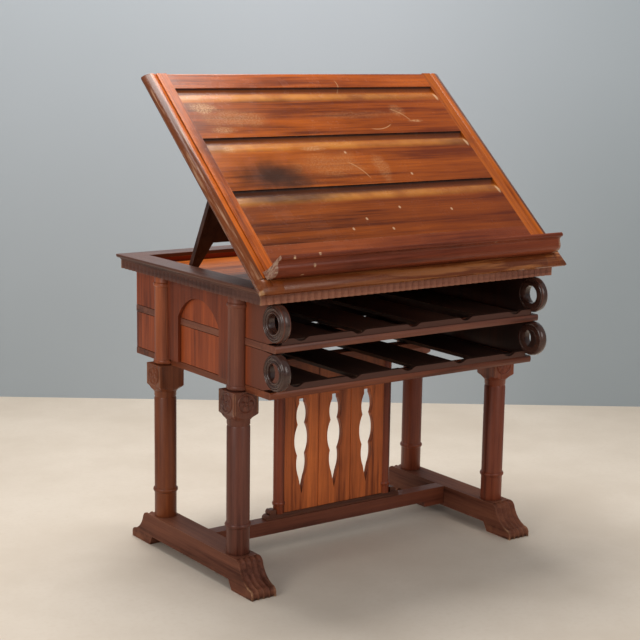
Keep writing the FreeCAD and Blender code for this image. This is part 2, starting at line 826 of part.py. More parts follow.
rail = new_body("board_rail_top")
rail_foot = top_edge - s.top_rail_width
pad(rail, "YZ",
    [(rail_foot, -half_board), (top_edge, -half_board), (top_edge, half_board - s.top_nosing_width * 0.5),
     arc(top_edge - s.top_nosing_width * 0.3, half_board - s.top_nosing_width * 0.15),
     (top_edge - s.top_nosing_width, half_board), (rail_foot, half_board)],
    -panel_half_width, panel_half_width)
board_piece(rail)

for number, name in ((0, "upper"), (1, "middle"), (2, "lower")):
    panel = new_body(f"board_panel_{name}")
    top = rail_foot - panel_pitch * number
    bottom = top - panel_pitch
    step = top - s.groove_step_width
    cove = step - s.groove_cove_width
    bevel = cove - s.groove_bevel_width
    deep = half_board - s.groove_step_depth
    lifted = half_board - s.groove_bevel_depth
    pad(panel, "YZ",
        [(bottom, -half_board), (top, -half_board), (top, deep), (step, deep),
         arc(step - s.groove_cove_width * 0.3, deep + (lifted - deep) * 0.7),
         (cove, lifted), (bevel, half_board), (bottom, half_board)],
        -panel_half_width, panel_half_width)
    if name == "middle":
        for sign in (-1, 1):
            middle = sign * prop_hinge_half_spread
            half = s.prop_notch_half - s.running_gap
            pocket(panel, "XY",
                   [(middle - half, prop_pivot_along), (middle + half, prop_pivot_along),
                    (middle + half, prop_pivot_along + s.prop_leaf_reach),
                    (middle - half, prop_pivot_along + s.prop_leaf_reach)],
                   -half_board - s.overrun, -half_board + s.prop_leaf)
    board_piece(panel)

# Book stop: a moulded lip that stands on the board, with a nosing, a fascia and a torus on its front and
# splayed ends.
stop_half_width = board_half_width - s.stop_inset
stop = new_body("book_stop")
front = s.stop_front
deep = s.stop_depth
high = s.stop_height
stop_section = [
    (front + deep, 0), arc(front + deep * 0.78, high * 0.27), (front + deep * 0.7, high * 0.62),
    (front + deep * 0.62, high), (front + deep * 0.5, high), arc(front + deep * 0.36, high * 0.955),
    (front + deep * 0.38, high * 0.88), arc(front + deep * 0.46, high * 0.76),
    (front + deep * 0.43, high * 0.66), (front + deep * 0.3, high * 0.62),
    arc(front + deep * 0.05, high * 0.52), (front - deep * 0.04, high * 0.34),
    arc(front + deep * 0.02, high * 0.2), (front + deep * 0.14, high * 0.12), (front + deep * 0.2, 0)]
pad(stop, "YZ",
    [arc(point[1], half_board + point[2]) if point[0] == "arc" else (point[0], half_board + point[1])
     for point in stop_section],
    -stop_half_width, stop_half_width)
for sign in (-1, 1):
    pocket(stop, "XZ",
           [(sign * stop_half_width, half_board),
            (sign * (stop_half_width - s.stop_end_splay), half_board + s.stop_height),
            (sign * (stop_half_width - s.stop_end_splay), half_board + s.stop_height + s.overrun),
            (sign * (stop_half_width + s.overrun), half_board + s.stop_height + s.overrun),
            (sign * (stop_half_width + s.overrun), half_board)],
           front - s.overrun, front + deep + s.overrun)
board_piece(stop)

# Board hinges: a leaf on the cap with the middle barrel and the pin, a leaf on the board with two barrels.
for sign, side in SIDES:
    middle = sign * hinge_half_spread
    third = s.hinge_half_length / 3
    leaf = new_body(f"hinge_cap_leaf_{side}")
    cap_edge = -frieze_half_depth - s.cap_overhang
    pad(leaf, "YZ",
        [(cap_edge + s.running_gap, case_top), (cap_edge + s.hinge_leaf_reach, case_top),
         (cap_edge + s.hinge_leaf_reach, case_top + s.hinge_leaf),
         (cap_edge + s.running_gap, case_top + s.hinge_leaf)],
        middle - s.hinge_half_length, middle + s.hinge_half_length)
    pad(leaf, "YZ",
        [(hinge_y, case_top), (cap_edge + s.hinge_leaf, case_top),
         (cap_edge + s.hinge_leaf, case_top + s.hinge_leaf), (hinge_y, case_top + s.hinge_leaf)],
        middle - third + s.running_gap, middle + third - s.running_gap)
    pad(leaf, "YZ", disc(hinge_y, hinge_z, s.hinge_barrel_radius),
        middle - third + s.running_gap, middle + third - s.running_gap)
    pad(leaf, "YZ",
        disc(hinge_y, hinge_z, s.hinge_pin_radius),
        middle - s.hinge_half_length, middle + s.hinge_half_length)
    place(leaf)
    node(leaf)

    leaf = new_body(f"hinge_board_leaf_{side}")
    start = hinge_along + barrel_room
    pad(leaf, "YZ",
        [(start, -half_board - s.hinge_leaf), (start + s.hinge_leaf_reach, -half_board - s.hinge_leaf),
         (start + s.hinge_leaf_reach, -half_board), (start, -half_board)],
        middle - s.hinge_half_length, middle + s.hinge_half_length)
    for end in (-1, 1):
        low, high = (third, s.hinge_half_length) if end > 0 else (-s.hinge_half_length, -third)
        pad(leaf, "YZ",
            [(hinge_along, -half_board - s.hinge_leaf),
             (start + s.hinge_leaf, -half_board - s.hinge_leaf), (start + s.hinge_leaf, -half_board),
             (hinge_along, -half_board)],
            middle + low, middle + high)
        pad(leaf, "YZ",
            disc(hinge_along, hinge_up, s.hinge_barrel_radius),
            middle + low, middle + high)
    pocket(leaf, "YZ",
           disc(hinge_along, hinge_up, s.hinge_pin_radius + s.running_gap),
           middle - s.hinge_half_length - s.overrun, middle + s.hinge_half_length + s.overrun)
    board_piece(leaf)

# Prop hinges on the board's underside: a leaf let in flush, a web, the barrel and its pin.
pivot_up = -half_board - s.prop_thickness / 2 - s.running_gap
pivot_y, pivot_z = on_board(prop_pivot_along, pivot_up)
for sign, side in SIDES:
    middle = sign * prop_hinge_half_spread
    half = s.prop_notch_half - s.running_gap
    hinge = new_body(f"prop_hinge_{side}")
    along = prop_pivot_along
    pad(hinge, "YZ",
        [(along, -half_board), (along + s.prop_leaf_reach, -half_board),
         (along + s.prop_leaf_reach, -half_board + s.prop_leaf), (along, -half_board + s.prop_leaf)],
        middle - half, middle + half)
    pad(hinge, "YZ",
        [(along, pivot_up), (along + s.prop_barrel_radius, pivot_up),
         (along + s.prop_barrel_radius, -half_board + s.prop_leaf), (along, -half_board + s.prop_leaf)],
        middle - half, middle + half)
    pad(hinge, "YZ",
        disc(along, pivot_up, s.prop_barrel_radius),
        middle - half, middle + half)
    pad(hinge, "YZ",
        disc(along, pivot_up, s.prop_pin_radius),
        middle - s.prop_notch_half - s.prop_pin_reach, middle + s.prop_notch_half + s.prop_pin_reach)
    board_piece(hinge)

# Prop: one wide panel, cut out between its feet, rounded at both ends and hung by its top edge.
prop = new_body("prop_panel")
round_end = s.prop_thickness / 2
prop_length = (pivot_z - well_floor - s.rack_root - s.running_gap - round_end) / cosine(s.prop_tilt)
pad(prop, "YZ",
    [(-round_end, 0), (-round_end, -prop_length), arc(0, -prop_length - round_end),
     (round_end, -prop_length), (round_end, 0), arc(0, round_end)],
    -prop_half_width, prop_half_width)
foot_end = -prop_length - round_end
opening_top = foot_end + s.prop_opening_height
inner_low = prop_half_width - s.prop_foot_width
inner_high = prop_half_width - s.prop_leg_width
pocket(prop, "XZ",
       [(-inner_low, foot_end - s.overrun), (inner_low, foot_end - s.overrun), (inner_low, foot_end),
        (inner_high, opening_top), (-inner_high, opening_top), (-inner_low, foot_end)],
       -round_end - s.overrun, round_end + s.overrun)
for sign in (-1, 1):
    middle = sign * prop_hinge_half_spread
    pocket(prop, "XZ",
           [(middle - s.prop_notch_half, -s.prop_notch_depth),
            (middle + s.prop_notch_half, -s.prop_notch_depth),
            (middle + s.prop_notch_half, round_end + s.overrun),
            (middle - s.prop_notch_half, round_end + s.overrun)],
           -round_end - s.overrun, round_end + s.overrun)
    reach = s.prop_notch_half + s.prop_pin_reach + s.running_gap
    pocket(prop, "YZ",
           disc(0, 0, s.prop_pin_radius + s.running_gap),
           middle - reach, middle + reach)
place(prop, 0, pivot_y, pivot_z, s.prop_tilt)
node(prop)

# Racks: saw-toothed strips along the well's side walls; the upright faces hold the prop's foot.
foot_y = pivot_y + prop_length * sine(s.prop_tilt)
tooth_face = foot_y + round_end + s.running_gap
reach = well_half_depth - s.rack_end_gap
teeth_front = math.floor((tooth_face + reach).value / s.rack_pitch.value)
teeth = teeth_front + math.floor((reach - tooth_face).value / s.rack_pitch.value)
rack_start = tooth_face - s.rack_pitch * teeth_front
for sign, side in SIDES:
    rack = new_body(f"rack_{side}")
    path = [(rack_start, 0)]
    for number in range(teeth):
        face = rack_start + s.rack_pitch * number
        path += [(face, s.rack_height), (face + s.rack_pitch * 0.6, s.rack_root),
                 (face + s.rack_pitch, s.rack_root)]
    path += [(rack_start + s.rack_pitch * teeth, 0)]
    low, high = ((well_half_width - s.rack_width, well_half_width) if sign > 0
                 else (-well_half_width, s.rack_width - well_half_width))
    pad(rack, "YZ", path, low, high)
    place(rack, 0, 0, well_floor)
    node(rack)

# Book trays: side boards that end in pierced rings, a slatted floor and scalloped rails.
tray_outer = s.frame_half_width - s.tray_outer_gap
tray_inner = tray_outer - s.tray_board
for name, bottom, bay, ring_y in (
        ("upper", upper_shelf_top, s.upper_bay_height, s.upper_ring_setback - s.upper_shelf_front),
        ("lower", lower_shelf_top, s.lower_bay_height, s.lower_ring_setback - s.lower_shelf_front)):
    base = bottom + s.running_gap
    height = bay - s.running_gap - s.tray_headroom
    for sign, side in SIDES:
        board = new_body(f"{name}_tray_side_{side}")
        low, high = (tray_inner, tray_outer) if sign > 0 else (-tray_outer, -tray_inner)
        ring_z = height * 0.525
        ring_radius = height / 2 - s.ring_margin
        neck = ring_radius * 0.6
        pad(board, "YZ",
            [(ring_y, ring_z - ring_radius), arc(ring_y - ring_radius, ring_z),
             (ring_y, ring_z + ring_radius), (ring_y + neck, height), (s.shelf_rear, height),
             (s.shelf_rear, 0), (ring_y + neck, 0)], low, high)
        pocket(board, "YZ",
               disc(ring_y, ring_z, s.ring_hole),
               low - s.overrun, high + s.overrun)
        place(board, 0, 0, base)
        node(board)
    floor = new_body(f"{name}_tray_floor")
    dips = []
    for number in (-2, -1, 0, 1, 2):
        middle = tray_inner * 0.429 * number
        half = s.tray_scallop_width / 2
        rim = s.tray_rail_height
        dip = rim - s.tray_scallop_depth
        dips += [(middle - half, rim), arc(middle - half * 0.8, rim - s.tray_scallop_depth * 0.2),
                 (middle - half * 0.64, rim - s.tray_scallop_depth * 0.5),
                 arc(middle, dip - s.tray_scallop_depth * 0.25),
                 (middle + half * 0.64, rim - s.tray_scallop_depth * 0.5),
                 arc(middle + half * 0.8, rim - s.tray_scallop_depth * 0.2), (middle + half, rim)]
    scalloped = [(-tray_inner, 0), (-tray_inner, s.tray_rail_height)] + dips + [
        (tray_inner, s.tray_rail_height), (tray_inner, 0)]
    rail_y = ring_y + s.tray_rail_thickness / 2
    pad(floor, "XZ", scalloped, ring_y - s.tray_rail_thickness / 2, rail_y)
    for number in (-1.5, -0.5, 0.5, 1.5):
        middle = tray_inner * 0.4914 * number
        half = tray_inner * 0.3133 / 2
        pad(floor, "XZ",
            [(middle - half, s.slat_lift), (middle + half, s.slat_lift),
             (middle + half, s.slat_lift + s.slat_thickness),
             (middle - half, s.slat_lift + s.slat_thickness)],
            ring_y, s.shelf_rear - s.tray_rail_thickness / 2)
    pad(floor, "XZ", scalloped, s.shelf_rear - s.tray_rail_thickness, s.shelf_rear)
    place(floor, 0, 0, base)
    node(floor)

doc.recompute()

for item in doc.Objects:
    bad = [state for state in item.State if state in ("Invalid", "Error")]
    if bad:
        raise RuntimeError(f"{item.Label} did not build: {item.State}")
for item in cuts:
    before = item.BaseFeature.Shape.Volume
    if not before - item.Shape.Volume > 0:
        raise RuntimeError(f"{item.getParentGeoFeatureGroup().Label}: a pocket cuts nothing")
labels = [item.Label for item in nodes]
if len(set(labels)) != len(labels) or len(labels) > 60:
    raise RuntimeError("labels repeat, or there are too many")
for item in nodes:
    shape = item.Shape
    if shape.isNull() or not shape.isValid() or len(shape.Solids) != 1:
        raise RuntimeError(f"{item.Label} is not one valid solid")

os.makedirs("parts", exist_ok=True)
for item in nodes:
    item.Shape.exportStep(f"parts/{item.Label}.step")
box = FreeCAD.BoundBox()
for item in nodes:
    box.add(item.Shape.BoundBox)
print(len(nodes), "nodes", box)
print("prop pivot", pivot_y.value + s.case_setback.value, pivot_z.value)
print("prop foot", foot_y.value, "prop length", prop_length.value)
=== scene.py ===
import math

import bmesh
import bpy
from mathutils import Matrix, Vector


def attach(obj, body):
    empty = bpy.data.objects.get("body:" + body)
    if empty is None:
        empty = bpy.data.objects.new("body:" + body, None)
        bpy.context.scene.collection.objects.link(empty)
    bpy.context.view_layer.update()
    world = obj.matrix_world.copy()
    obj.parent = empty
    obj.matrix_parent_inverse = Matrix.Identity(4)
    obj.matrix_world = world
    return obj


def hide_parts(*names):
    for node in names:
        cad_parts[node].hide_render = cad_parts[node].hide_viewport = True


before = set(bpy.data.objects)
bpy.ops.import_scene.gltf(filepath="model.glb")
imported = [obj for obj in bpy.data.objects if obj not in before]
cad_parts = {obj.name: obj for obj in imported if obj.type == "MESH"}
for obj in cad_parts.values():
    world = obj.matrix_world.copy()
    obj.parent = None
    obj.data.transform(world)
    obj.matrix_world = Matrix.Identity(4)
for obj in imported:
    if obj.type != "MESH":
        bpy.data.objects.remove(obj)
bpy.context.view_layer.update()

# The viewpoint. A standing viewer looks at the lectern from its front left and a little down, through a long lens,
# with the camera not quite level.
CAMERA_PLACE = Vector((-2.7571, -3.7277, 1.5679))
CAMERA_YAW = math.radians(35.70)
CAMERA_DIP = math.radians(10.52)
CAMERA_ROLL = math.radians(0.90)
FOCAL_LENGTH = 85.26

heading = Vector((math.sin(CAMERA_YAW), math.cos(CAMERA_YAW), 0))
level = Vector((math.cos(CAMERA_YAW), -math.sin(CAMERA_YAW), 0))
forward = heading * math.cos(CAMERA_DIP) - Vector((0, 0, math.sin(CAMERA_DIP)))
upright = level.cross(forward)
right = math.cos(CAMERA_ROLL) * level + math.sin(CAMERA_ROLL) * upright
up = math.cos(CAMERA_ROLL) * upright - math.sin(CAMERA_ROLL) * level
camera = bpy.data.objects.new("camera", bpy.data.cameras.new("camera"))
camera.data.sensor_width = 36
camera.data.lens = FOCAL_LENGTH
camera.data.clip_end = 60
camera.matrix_world = Matrix((
    (right.x, up.x, -forward.x, CAMERA_PLACE.x),
    (right.y, up.y, -forward.y, CAMERA_PLACE.y),
    (right.z, up.z, -forward.z, CAMERA_PLACE.z),
    (0, 0, 0, 1)))
bpy.context.collection.objects.link(camera)
bpy.context.scene.camera = camera
bpy.context.scene.view_settings.view_transform = "Standard"


# The room. A pale sealed floor and a grey-blue wall behind it with painted shade, seen from one side only so that it
# never stands in the way. A large soft lamp hangs above the lectern, two smaller ones fill from the left and the front,
# and the room glows pale.
class Wire:
    """One socket of a finish. Sums, differences and products with it add the nodes that work them out."""

    def __init__(self, finish, socket):
        self.finish = finish
        self.socket = socket

    def math(self, operation, *values):
        return self.finish.node("ShaderNodeMath", {"operation": operation}, dict(enumerate(values)))

    def vector(self, operation, *values, output=0):
        return self.finish.node("ShaderNodeVectorMath", {"operation": operation}, dict(enumerate(values)), output)

    def __add__(self, other):
        return self.math("ADD", self, other)

    def __sub__(self, other):
        return self.math("SUBTRACT", self, other)

    def __rsub__(self, other):
        return self.math("SUBTRACT", other, self)

    def __mul__(self, other):
        return self.math("MULTIPLY", self, other)

    def __abs__(self):
        return self.math("ABSOLUTE", self)

    __radd__ = __add__
    __rmul__ = __mul__

    def ramp(self, low, high):
        """0 below low, 1 above high and smooth between."""
        return self.finish.node("ShaderNodeMapRange", {"interpolation_type": "SMOOTHSTEP"},
                                {"Value": self, "From Min": low, "From Max": high})

    def noise(self, scale, detail, rough, warp=0.0):
        return self.finish.node("ShaderNodeTexNoise", {"noise_dimensions": "3D"}, {
            "Vector": self, "Scale": scale, "Detail": detail, "Roughness": rough, "Distortion": warp})

    def toward(self, direction):
        """How far a place lies in one direction."""
        return self.vector("DOT_PRODUCT", self, direction, output="Value")

    def squeezed(self, factors):
        """Place scaled along each axis, so that noise on it is drawn out along the least one."""
        return self.vector("MULTIPLY", self, factors)

    def spot(self, centre, radii):
        """Distance from a centre, with 1 on an ellipsoid round it."""
        near = self.vector("SUBTRACT", self, centre)
        return near.vector("LENGTH", near.vector("DIVIDE", near, radii), output="Value")


class Finish:
    """A material that is written as sums over its sockets."""

    def __init__(self, name):
        self.material = bpy.data.materials.new(name)
        self.material.use_nodes = True
        self.tree = self.material.node_tree
        self.tree.nodes.clear()

    def node(self, kind, settings=None, inputs=None, output=0):
        made = self.tree.nodes.new(kind)
        for key, value in (settings or {}).items():
            setattr(made, key, value)
        for key, value in (inputs or {}).items():
            if isinstance(value, Wire):
                self.tree.links.new(value.socket, made.inputs[key])
            else:
                made.inputs[key].default_value = value
        return Wire(self, made.outputs[output]) if made.outputs else None

    def place(self, shift=(0, 0, 0), turn=(0, 0, 0)):
        """Place on the piece, turned about the origin and then shifted."""
        here = self.node("ShaderNodeTexCoord", output="Object")
        return self.node("ShaderNodeMapping", {"vector_type": "POINT"},
                         {"Vector": here, "Location": shift, "Rotation": turn})

    def blend(self, share, first, second):
        """Colour between two colours. The numbers are the places of a colour mix's sockets, whose names repeat."""
        return self.node("ShaderNodeMix", {"data_type": "RGBA", "clamp_result": True},
                         {0: share, 6: first, 7: second}, 2)

    def surface(self, **inputs):
        """Close the material with its shader."""
        names = {key.replace("_", " "): value for key, value in inputs.items()}
        shader = self.node("ShaderNodeBsdfPrincipled", {}, names)
        self.node("ShaderNodeOutputMaterial", {}, {"Surface": shader})
        return self.material


def paint(red, green, blue):
    """Colour as it looks on a screen, made linear."""
    return (*(((part / 255 + 0.055) / 1.055) ** 2.4 for part in (red, green, blue)), 1)


def staged(name, corners, material):
    """Flat sheet of the room."""
    mesh = bpy.data.meshes.new(name)
    mesh.from_pydata([tuple(corner) for corner in corners], [], [list(range(len(corners)))])
    mesh.materials.append(material)
    item = bpy.data.objects.new(name, mesh)
    bpy.context.collection.objects.link(item)


TO_RIGHT, TO_REAR, TO_TOP = (1, 0, 0), (0, 1, 0), (0, 0, 1)
FLOOR_REACH = 9
WALL_DISTANCE = 6.48
WALL_HEIGHT = 2.6
ROOM_STRENGTH = 0.42

finish = Finish("floor_finish")
place = finish.place()
cloud = place.noise(1.7, 5, 0.6)
speckle = place.noise(60, 3, 0.6)
floor_colour = finish.blend(cloud.ramp(0.3, 0.7), paint(216, 204, 189), paint(205, 192, 176))
floor_colour = finish.blend(speckle.ramp(0.45, 0.75) * 0.35, floor_colour, paint(205, 190, 172))
staged("floor", [(-FLOOR_REACH, -FLOOR_REACH, 0), (FLOOR_REACH, -FLOOR_REACH, 0),
                 (FLOOR_REACH, FLOOR_REACH, 0), (-FLOOR_REACH, FLOOR_REACH, 0)],
       finish.surface(Base_Color=floor_colour, Roughness=0.7 + cloud * 0.1, Specular_IOR_Level=0.25))

foot_of_wall = Vector((CAMERA_PLACE.x, CAMERA_PLACE.y, 0)) + heading * WALL_DISTANCE
ceiling = Vector((0, 0, WALL_HEIGHT))
finish = Finish("wall_finish")
place = finish.place()
across = place.vector("SUBTRACT", place, foot_of_wall).toward(level)
height = place.toward(TO_TOP)
cloud = place.noise(1.1, 4, 0.5)
# Painted shade: the wall is darker towards its right, its left end and the floor, where the lamps light it less.
painted_falloff = (across.ramp(0, 1.6) * 0.75 + (1 - across.ramp(-1.1, 0)) * 0.25 + (1 - height.ramp(0, 1.7)) * 0.5
        + (cloud - 0.5) * 0.2)
wall_colour = finish.blend(painted_falloff, paint(190, 198, 206), paint(168, 178, 184))
plaster = finish.node("ShaderNodeBsdfPrincipled", {}, {"Base Color": wall_colour, "Roughness": 0.9})
clear = finish.node("ShaderNodeBsdfTransparent")
behind = finish.node("ShaderNodeNewGeometry", output="Backfacing")
finish.node("ShaderNodeOutputMaterial", {}, {
    "Surface": finish.node("ShaderNodeMixShader", {}, {0: behind, 1: plaster, 2: clear})})
left_end = foot_of_wall - level * FLOOR_REACH
right_end = foot_of_wall + level * FLOOR_REACH
staged("wall", [left_end, right_end, right_end + ceiling, left_end + ceiling], finish.material)

world = bpy.data.worlds.new("room")
world.use_nodes = True
world.node_tree.nodes["Background"].inputs[0].default_value = paint(228, 230, 233)
world.node_tree.nodes["Background"].inputs[1].default_value = ROOM_STRENGTH
bpy.context.scene.world = world

for name, stand, target, width, power, colour in (
        ("lamp_above", (0.1, 1.1, 4.0), (0, -0.2, 0.5), 2.4, 148, (1, 0.98, 0.95)),
        ("lamp_left", (-4.4, -1.2, 2.3), (0, 0, 0.8), 1.8, 55, (1, 0.97, 0.93)),
        ("lamp_front", (0.8, -4.6, 2.8), (0, 0, 0.9), 2.2, 48, (1, 0.98, 0.95))):
    light = bpy.data.lights.new(name, "AREA")
    light.shape = "SQUARE"
    light.size = width
    light.energy = power
    light.color = colour
    lamp = bpy.data.objects.new(name, light)
    lamp.location = stand
    lamp.rotation_euler = (Vector(target) - Vector(stand)).to_track_quat("-Z", "Y").to_euler()
    bpy.context.collection.objects.link(lamp)


# Feet and stretcher. Two sledge feet sawn from thick mahogany, their ogee toes fluted by hand and worn pale on the
# arrises, are joined by a rail that lies on glue blocks. The wood is stained brown-red, oiled and waxed.
X, Y, Z = 0, 1, 2
WORN = paint(176, 128, 92)
# Dark brown for grime, and for painted shade in hollows, flutes, grooves and under the trays.
GRIME_AND_SHADE = paint(26, 14, 11)
DARK_PARTS, MIDDLE_PARTS, LIGHT_PARTS = (0.40, 0.32, 0.28), (1.04, 1.03, 1), (1.55, 1.65, 1.5)


def tones(red, green, blue):
    """Dark, middle and light of one wood."""
    middle = paint(red, green, blue)
    return [(*(value * part for value, part in zip(middle, parts)), 1)
            for parts in (DARK_PARTS, MIDDLE_PARTS, LIGHT_PARTS)]


def shut_in(finish, reach, **settings):
    """How closed in a place is: high in hollows, or on arrises when it looks inside the wood."""
    return 1 - finish.node("ShaderNodeAmbientOcclusion", {"samples": 6, **settings}, {"Distance": reach}, "AO")


def hardwood(name, along, wood, seed, shift=(0, 0, 0), turn=(0, 0, 0), gloss=0.36, coat=0.1, figure=1.0, wear=0.5,
             shine=0.3, marks=None):
    """Oiled hardwood whose grain runs along one axis of the piece.

    Shift and turn lay the grain into a tilted piece, figure says how streaky it is and wear how rubbed its arrises
    are. Marks adds what use has left on it.
    """
    finish = Finish(name)
    place = finish.place(shift, turn)

    def drawn(length, width):
        """Place squeezed so that noise on it runs along the grain."""
        size = [1 / width] * 3
        size[along] = 1 / length
        moved = place.vector("ADD", place, (seed * 0.37, seed * 0.53, seed * 0.71))
        return moved.squeezed(size)

    ribbon = drawn(length=0.75, width=0.042).noise(1, 4, 0.55, warp=0.35)
    streak = drawn(length=0.30, width=0.009).noise(1, 3, 0.6, warp=0.2)
    fibre = drawn(length=0.06, width=0.0016).noise(1, 2, 0.6)
    pores = drawn(length=0.02, width=0.0007).noise(1, 1, 0.5).ramp(0.58, 0.72)
    cloud = place.noise(3.1, 3, 0.55)
    tone = (0.5 + (ribbon - 0.5) * (1.5 * figure) + (streak - 0.5) * (0.9 * figure) + (fibre - 0.5) * 0.35
            + (cloud - 0.5) * 0.7)
    dark, middle, light = wood
    colour = finish.blend(tone.ramp(0.05, 0.55), dark, middle)
    colour = finish.blend(tone.ramp(0.45, 1.0), colour, light)
    colour = finish.blend(pores * 0.3, colour, dark)
    shaded_hollow = shut_in(finish, 0.02)
    edge = shut_in(finish, 0.005, inside=True, only_local=True)
    patches = place.noise(34, 4, 0.65)
    rubbed = edge.ramp(0.35, 0.8) * (0.35 + patches.ramp(0.42, 0.62) * 0.65)
    # Grime and painted shade: hollows and joints are darkened where the wood round them closes in.
    colour = finish.blend(shaded_hollow.ramp(0.35, 0.95) * 0.75, colour, GRIME_AND_SHADE)
    colour = finish.blend(rubbed * wear, colour, WORN)
    rough = gloss + cloud.ramp(0.3, 0.7) * 0.1 + fibre * 0.08 + shaded_hollow * 0.15
    if marks:
        colour, rough = marks(finish, place, colour, rough)
    bump = finish.node("ShaderNodeBump", {}, {
        "Strength": 0.25, "Distance": 0.0005, "Height": fibre * 0.5 - pores * 0.6 + streak * 0.4})
    return finish.surface(Base_Color=colour, Roughness=rough, Normal=bump, Coat_Weight=coat, Coat_Roughness=0.22,
                          Specular_IOR_Level=shine)


WELD_REACH = 0.00002
SHARP_ANGLE = math.radians(32)


def dress(name, material, ease=0.0012):
    """Give a node its material and ease its sharp edges."""
    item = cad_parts[name]
    item.data.materials.clear()
    item.data.materials.append(material)
    item.modifiers.new("weld", "WELD").merge_threshold = WELD_REACH
    round_over = item.modifiers.new("ease", "BEVEL")
    round_over.width = ease
    round_over.segments = 2
    round_over.limit_method = "ANGLE"
    round_over.angle_limit = SHARP_ANGLE


TOE_LIGHT = paint(150, 98, 70)
TOE_WORN = paint(222, 176, 134)
TOE_CHIPS = ((-0.531, -0.394, 0.008), (0.449, -0.394, 0.008))
TOE_CHIP_SIZE = (0.009, 0.012, 0.017)


def toes(finish, place, colour, rough):
    """Toes kicked lighter near the floor, darkened in the flutes with grime and painted shade, with pale ridges and
    chips on the front ones.
    """
    low = 1 - place.toward(TO_TOP).ramp(0.004, 0.05)
    patches = place.noise(22, 3, 0.6).ramp(0.4, 0.65)
    colour = finish.blend(low * patches * 0.55, colour, TOE_LIGHT)
    front = 1 - place.toward(TO_REAR).ramp(-0.30, -0.27)
    shaded_valley = shut_in(finish, 0.012)
    ridge = shut_in(finish, 0.009, inside=True)
    # Grime and painted shade deepen the front flutes.
    colour = finish.blend(front * shaded_valley.ramp(0.08, 0.35) * 0.85, colour, GRIME_AND_SHADE)
    colour = finish.blend(front * ridge.ramp(0.35, 0.7) * (0.2 + patches * 0.6), colour, TOE_WORN)
    splintered = place.noise(160, 2, 0.6).ramp(0.3, 0.5)
    for centre in TOE_CHIPS:
        chip = 1 - place.spot(centre, TOE_CHIP_SIZE).ramp(0.7, 1.1)
        colour = finish.blend(chip * splintered, colour, TOE_WORN)
    return colour, rough


FOOT_WOOD = tones(106, 62, 47)
for side, seed in (("left", 1), ("right", 2)):
    dress(f"foot_{side}", hardwood(f"foot_{side}_wood", Y, FOOT_WOOD, seed, gloss=0.42, coat=0, wear=0.85,
                                   shine=0.12, marks=toes))
dress("stretcher", hardwood("stretcher_wood", X, tones(105, 53, 35), 3))

# Columns. Four turned mahogany shafts, each with a square capital under the case that is cut in steeply to the neck.
# Both outward faces of a capital carry a shallow carved rosette in a ring, between two upright fillets.
COLUMN_X = 0.490
COLUMN_Y = 0.209
CASE_MIDDLE = Vector((0, 0.0273, 0))
CAPITAL_HALF = 0.0413
CAPITAL_LEVELS = ((0.5829, 0), (0.5165, 0), (0.5125, 0.22), (0.508, 0.55), (0.5035, 0.85), (0.4995, 1))
CAPITAL_STEPS = 72
NECK_RADIUS = 0.0372
FILLET_HALF = 0.0014
FILLET_FROM = 0.520
FILLET_TO = 0.579
FILLET_OFFSET = 0.0365
FILLET_SUNK = 0.0002
ROSETTE_RADIUS = 0.0305
ROSETTE_HEIGHT = 0.549
GROUND_RISE = 0.0004
BEAD_MIDDLE, BEAD_HALF, BEAD_RISE = 0.905, 0.085, 0.0026
PETAL_MIDDLE, PETAL_LONG, PETAL_WIDE, PETAL_RISE = 0.46, 0.32, 0.27, 0.0030
VEIN_HALF, VEIN_DEPTH = 0.05, 0.0007
BOSS_SHARE, BOSS_RISE = 0.17, 0.0036
SMOOTH_ANGLE = math.radians(38)


def made(name, mesh, material, body, slot):
    """A built piece in its place, shaded smooth but for its sharp edges."""
    bmesh.ops.recalc_face_normals(mesh, faces=mesh.faces)
    data = bpy.data.meshes.new(name)
    mesh.to_mesh(data)
    mesh.free()
    for face in data.polygons:
        face.use_smooth = True
    data.set_sharp_from_angle(angle=SMOOTH_ANGLE)
    data.materials.append(material)
    item = bpy.data.objects.new(name, data)
    bpy.context.collection.objects.link(item)
    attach(item, body)
    return item


def relief(mesh, centre, outward, over, radius, height, rounds=18, spokes=96):
    """Carved roundel: a disc of rings whose points rise by height(share of the radius, angle)."""
    side = over.cross(outward)
    middle = mesh.verts.new(centre + outward * height(0, 0))
    before = None
    for ring in range(1, rounds + 1):
        share = ring / rounds
        row = []
        for spoke in range(spokes):
            angle = 2 * math.pi * spoke / spokes
            row.append(mesh.verts.new(centre + (side * math.cos(angle) + over * math.sin(angle)) * radius * share
                                      + outward * height(share, angle)))
        for spoke in range(spokes):
            after = (spoke + 1) % spokes
            if before:
                mesh.faces.new((before[spoke], row[spoke], row[after], before[after]))
            else:
                mesh.faces.new((middle, row[spoke], row[after]))
        before = row


def rosette(share, angle):
    """Four round petals, each with a sunk vein, a boss, and a bead round the whole."""
    if share > BEAD_MIDDLE + BEAD_HALF:
        return -GROUND_RISE
    if share > BEAD_MIDDLE - BEAD_HALF:
        return GROUND_RISE + BEAD_RISE * math.sqrt(max(0, 1 - ((share - BEAD_MIDDLE) / BEAD_HALF) ** 2))
    turn = (angle + math.pi / 4) % (math.pi / 2) - math.pi / 4
    x = share * math.cos(turn) - PETAL_MIDDLE
    y = share * math.sin(turn)
    petal = max(0, 1 - (x / PETAL_LONG) ** 2 - (y / PETAL_WIDE) ** 2)
    vein = VEIN_DEPTH * math.exp(-(y / VEIN_HALF) ** 2) if petal > 0 else 0
    boss = max(0, 1 - (share / BOSS_SHARE) ** 2)
    return GROUND_RISE + max(PETAL_RISE * math.sqrt(petal) - vein, BOSS_RISE * math.sqrt(boss), 0)


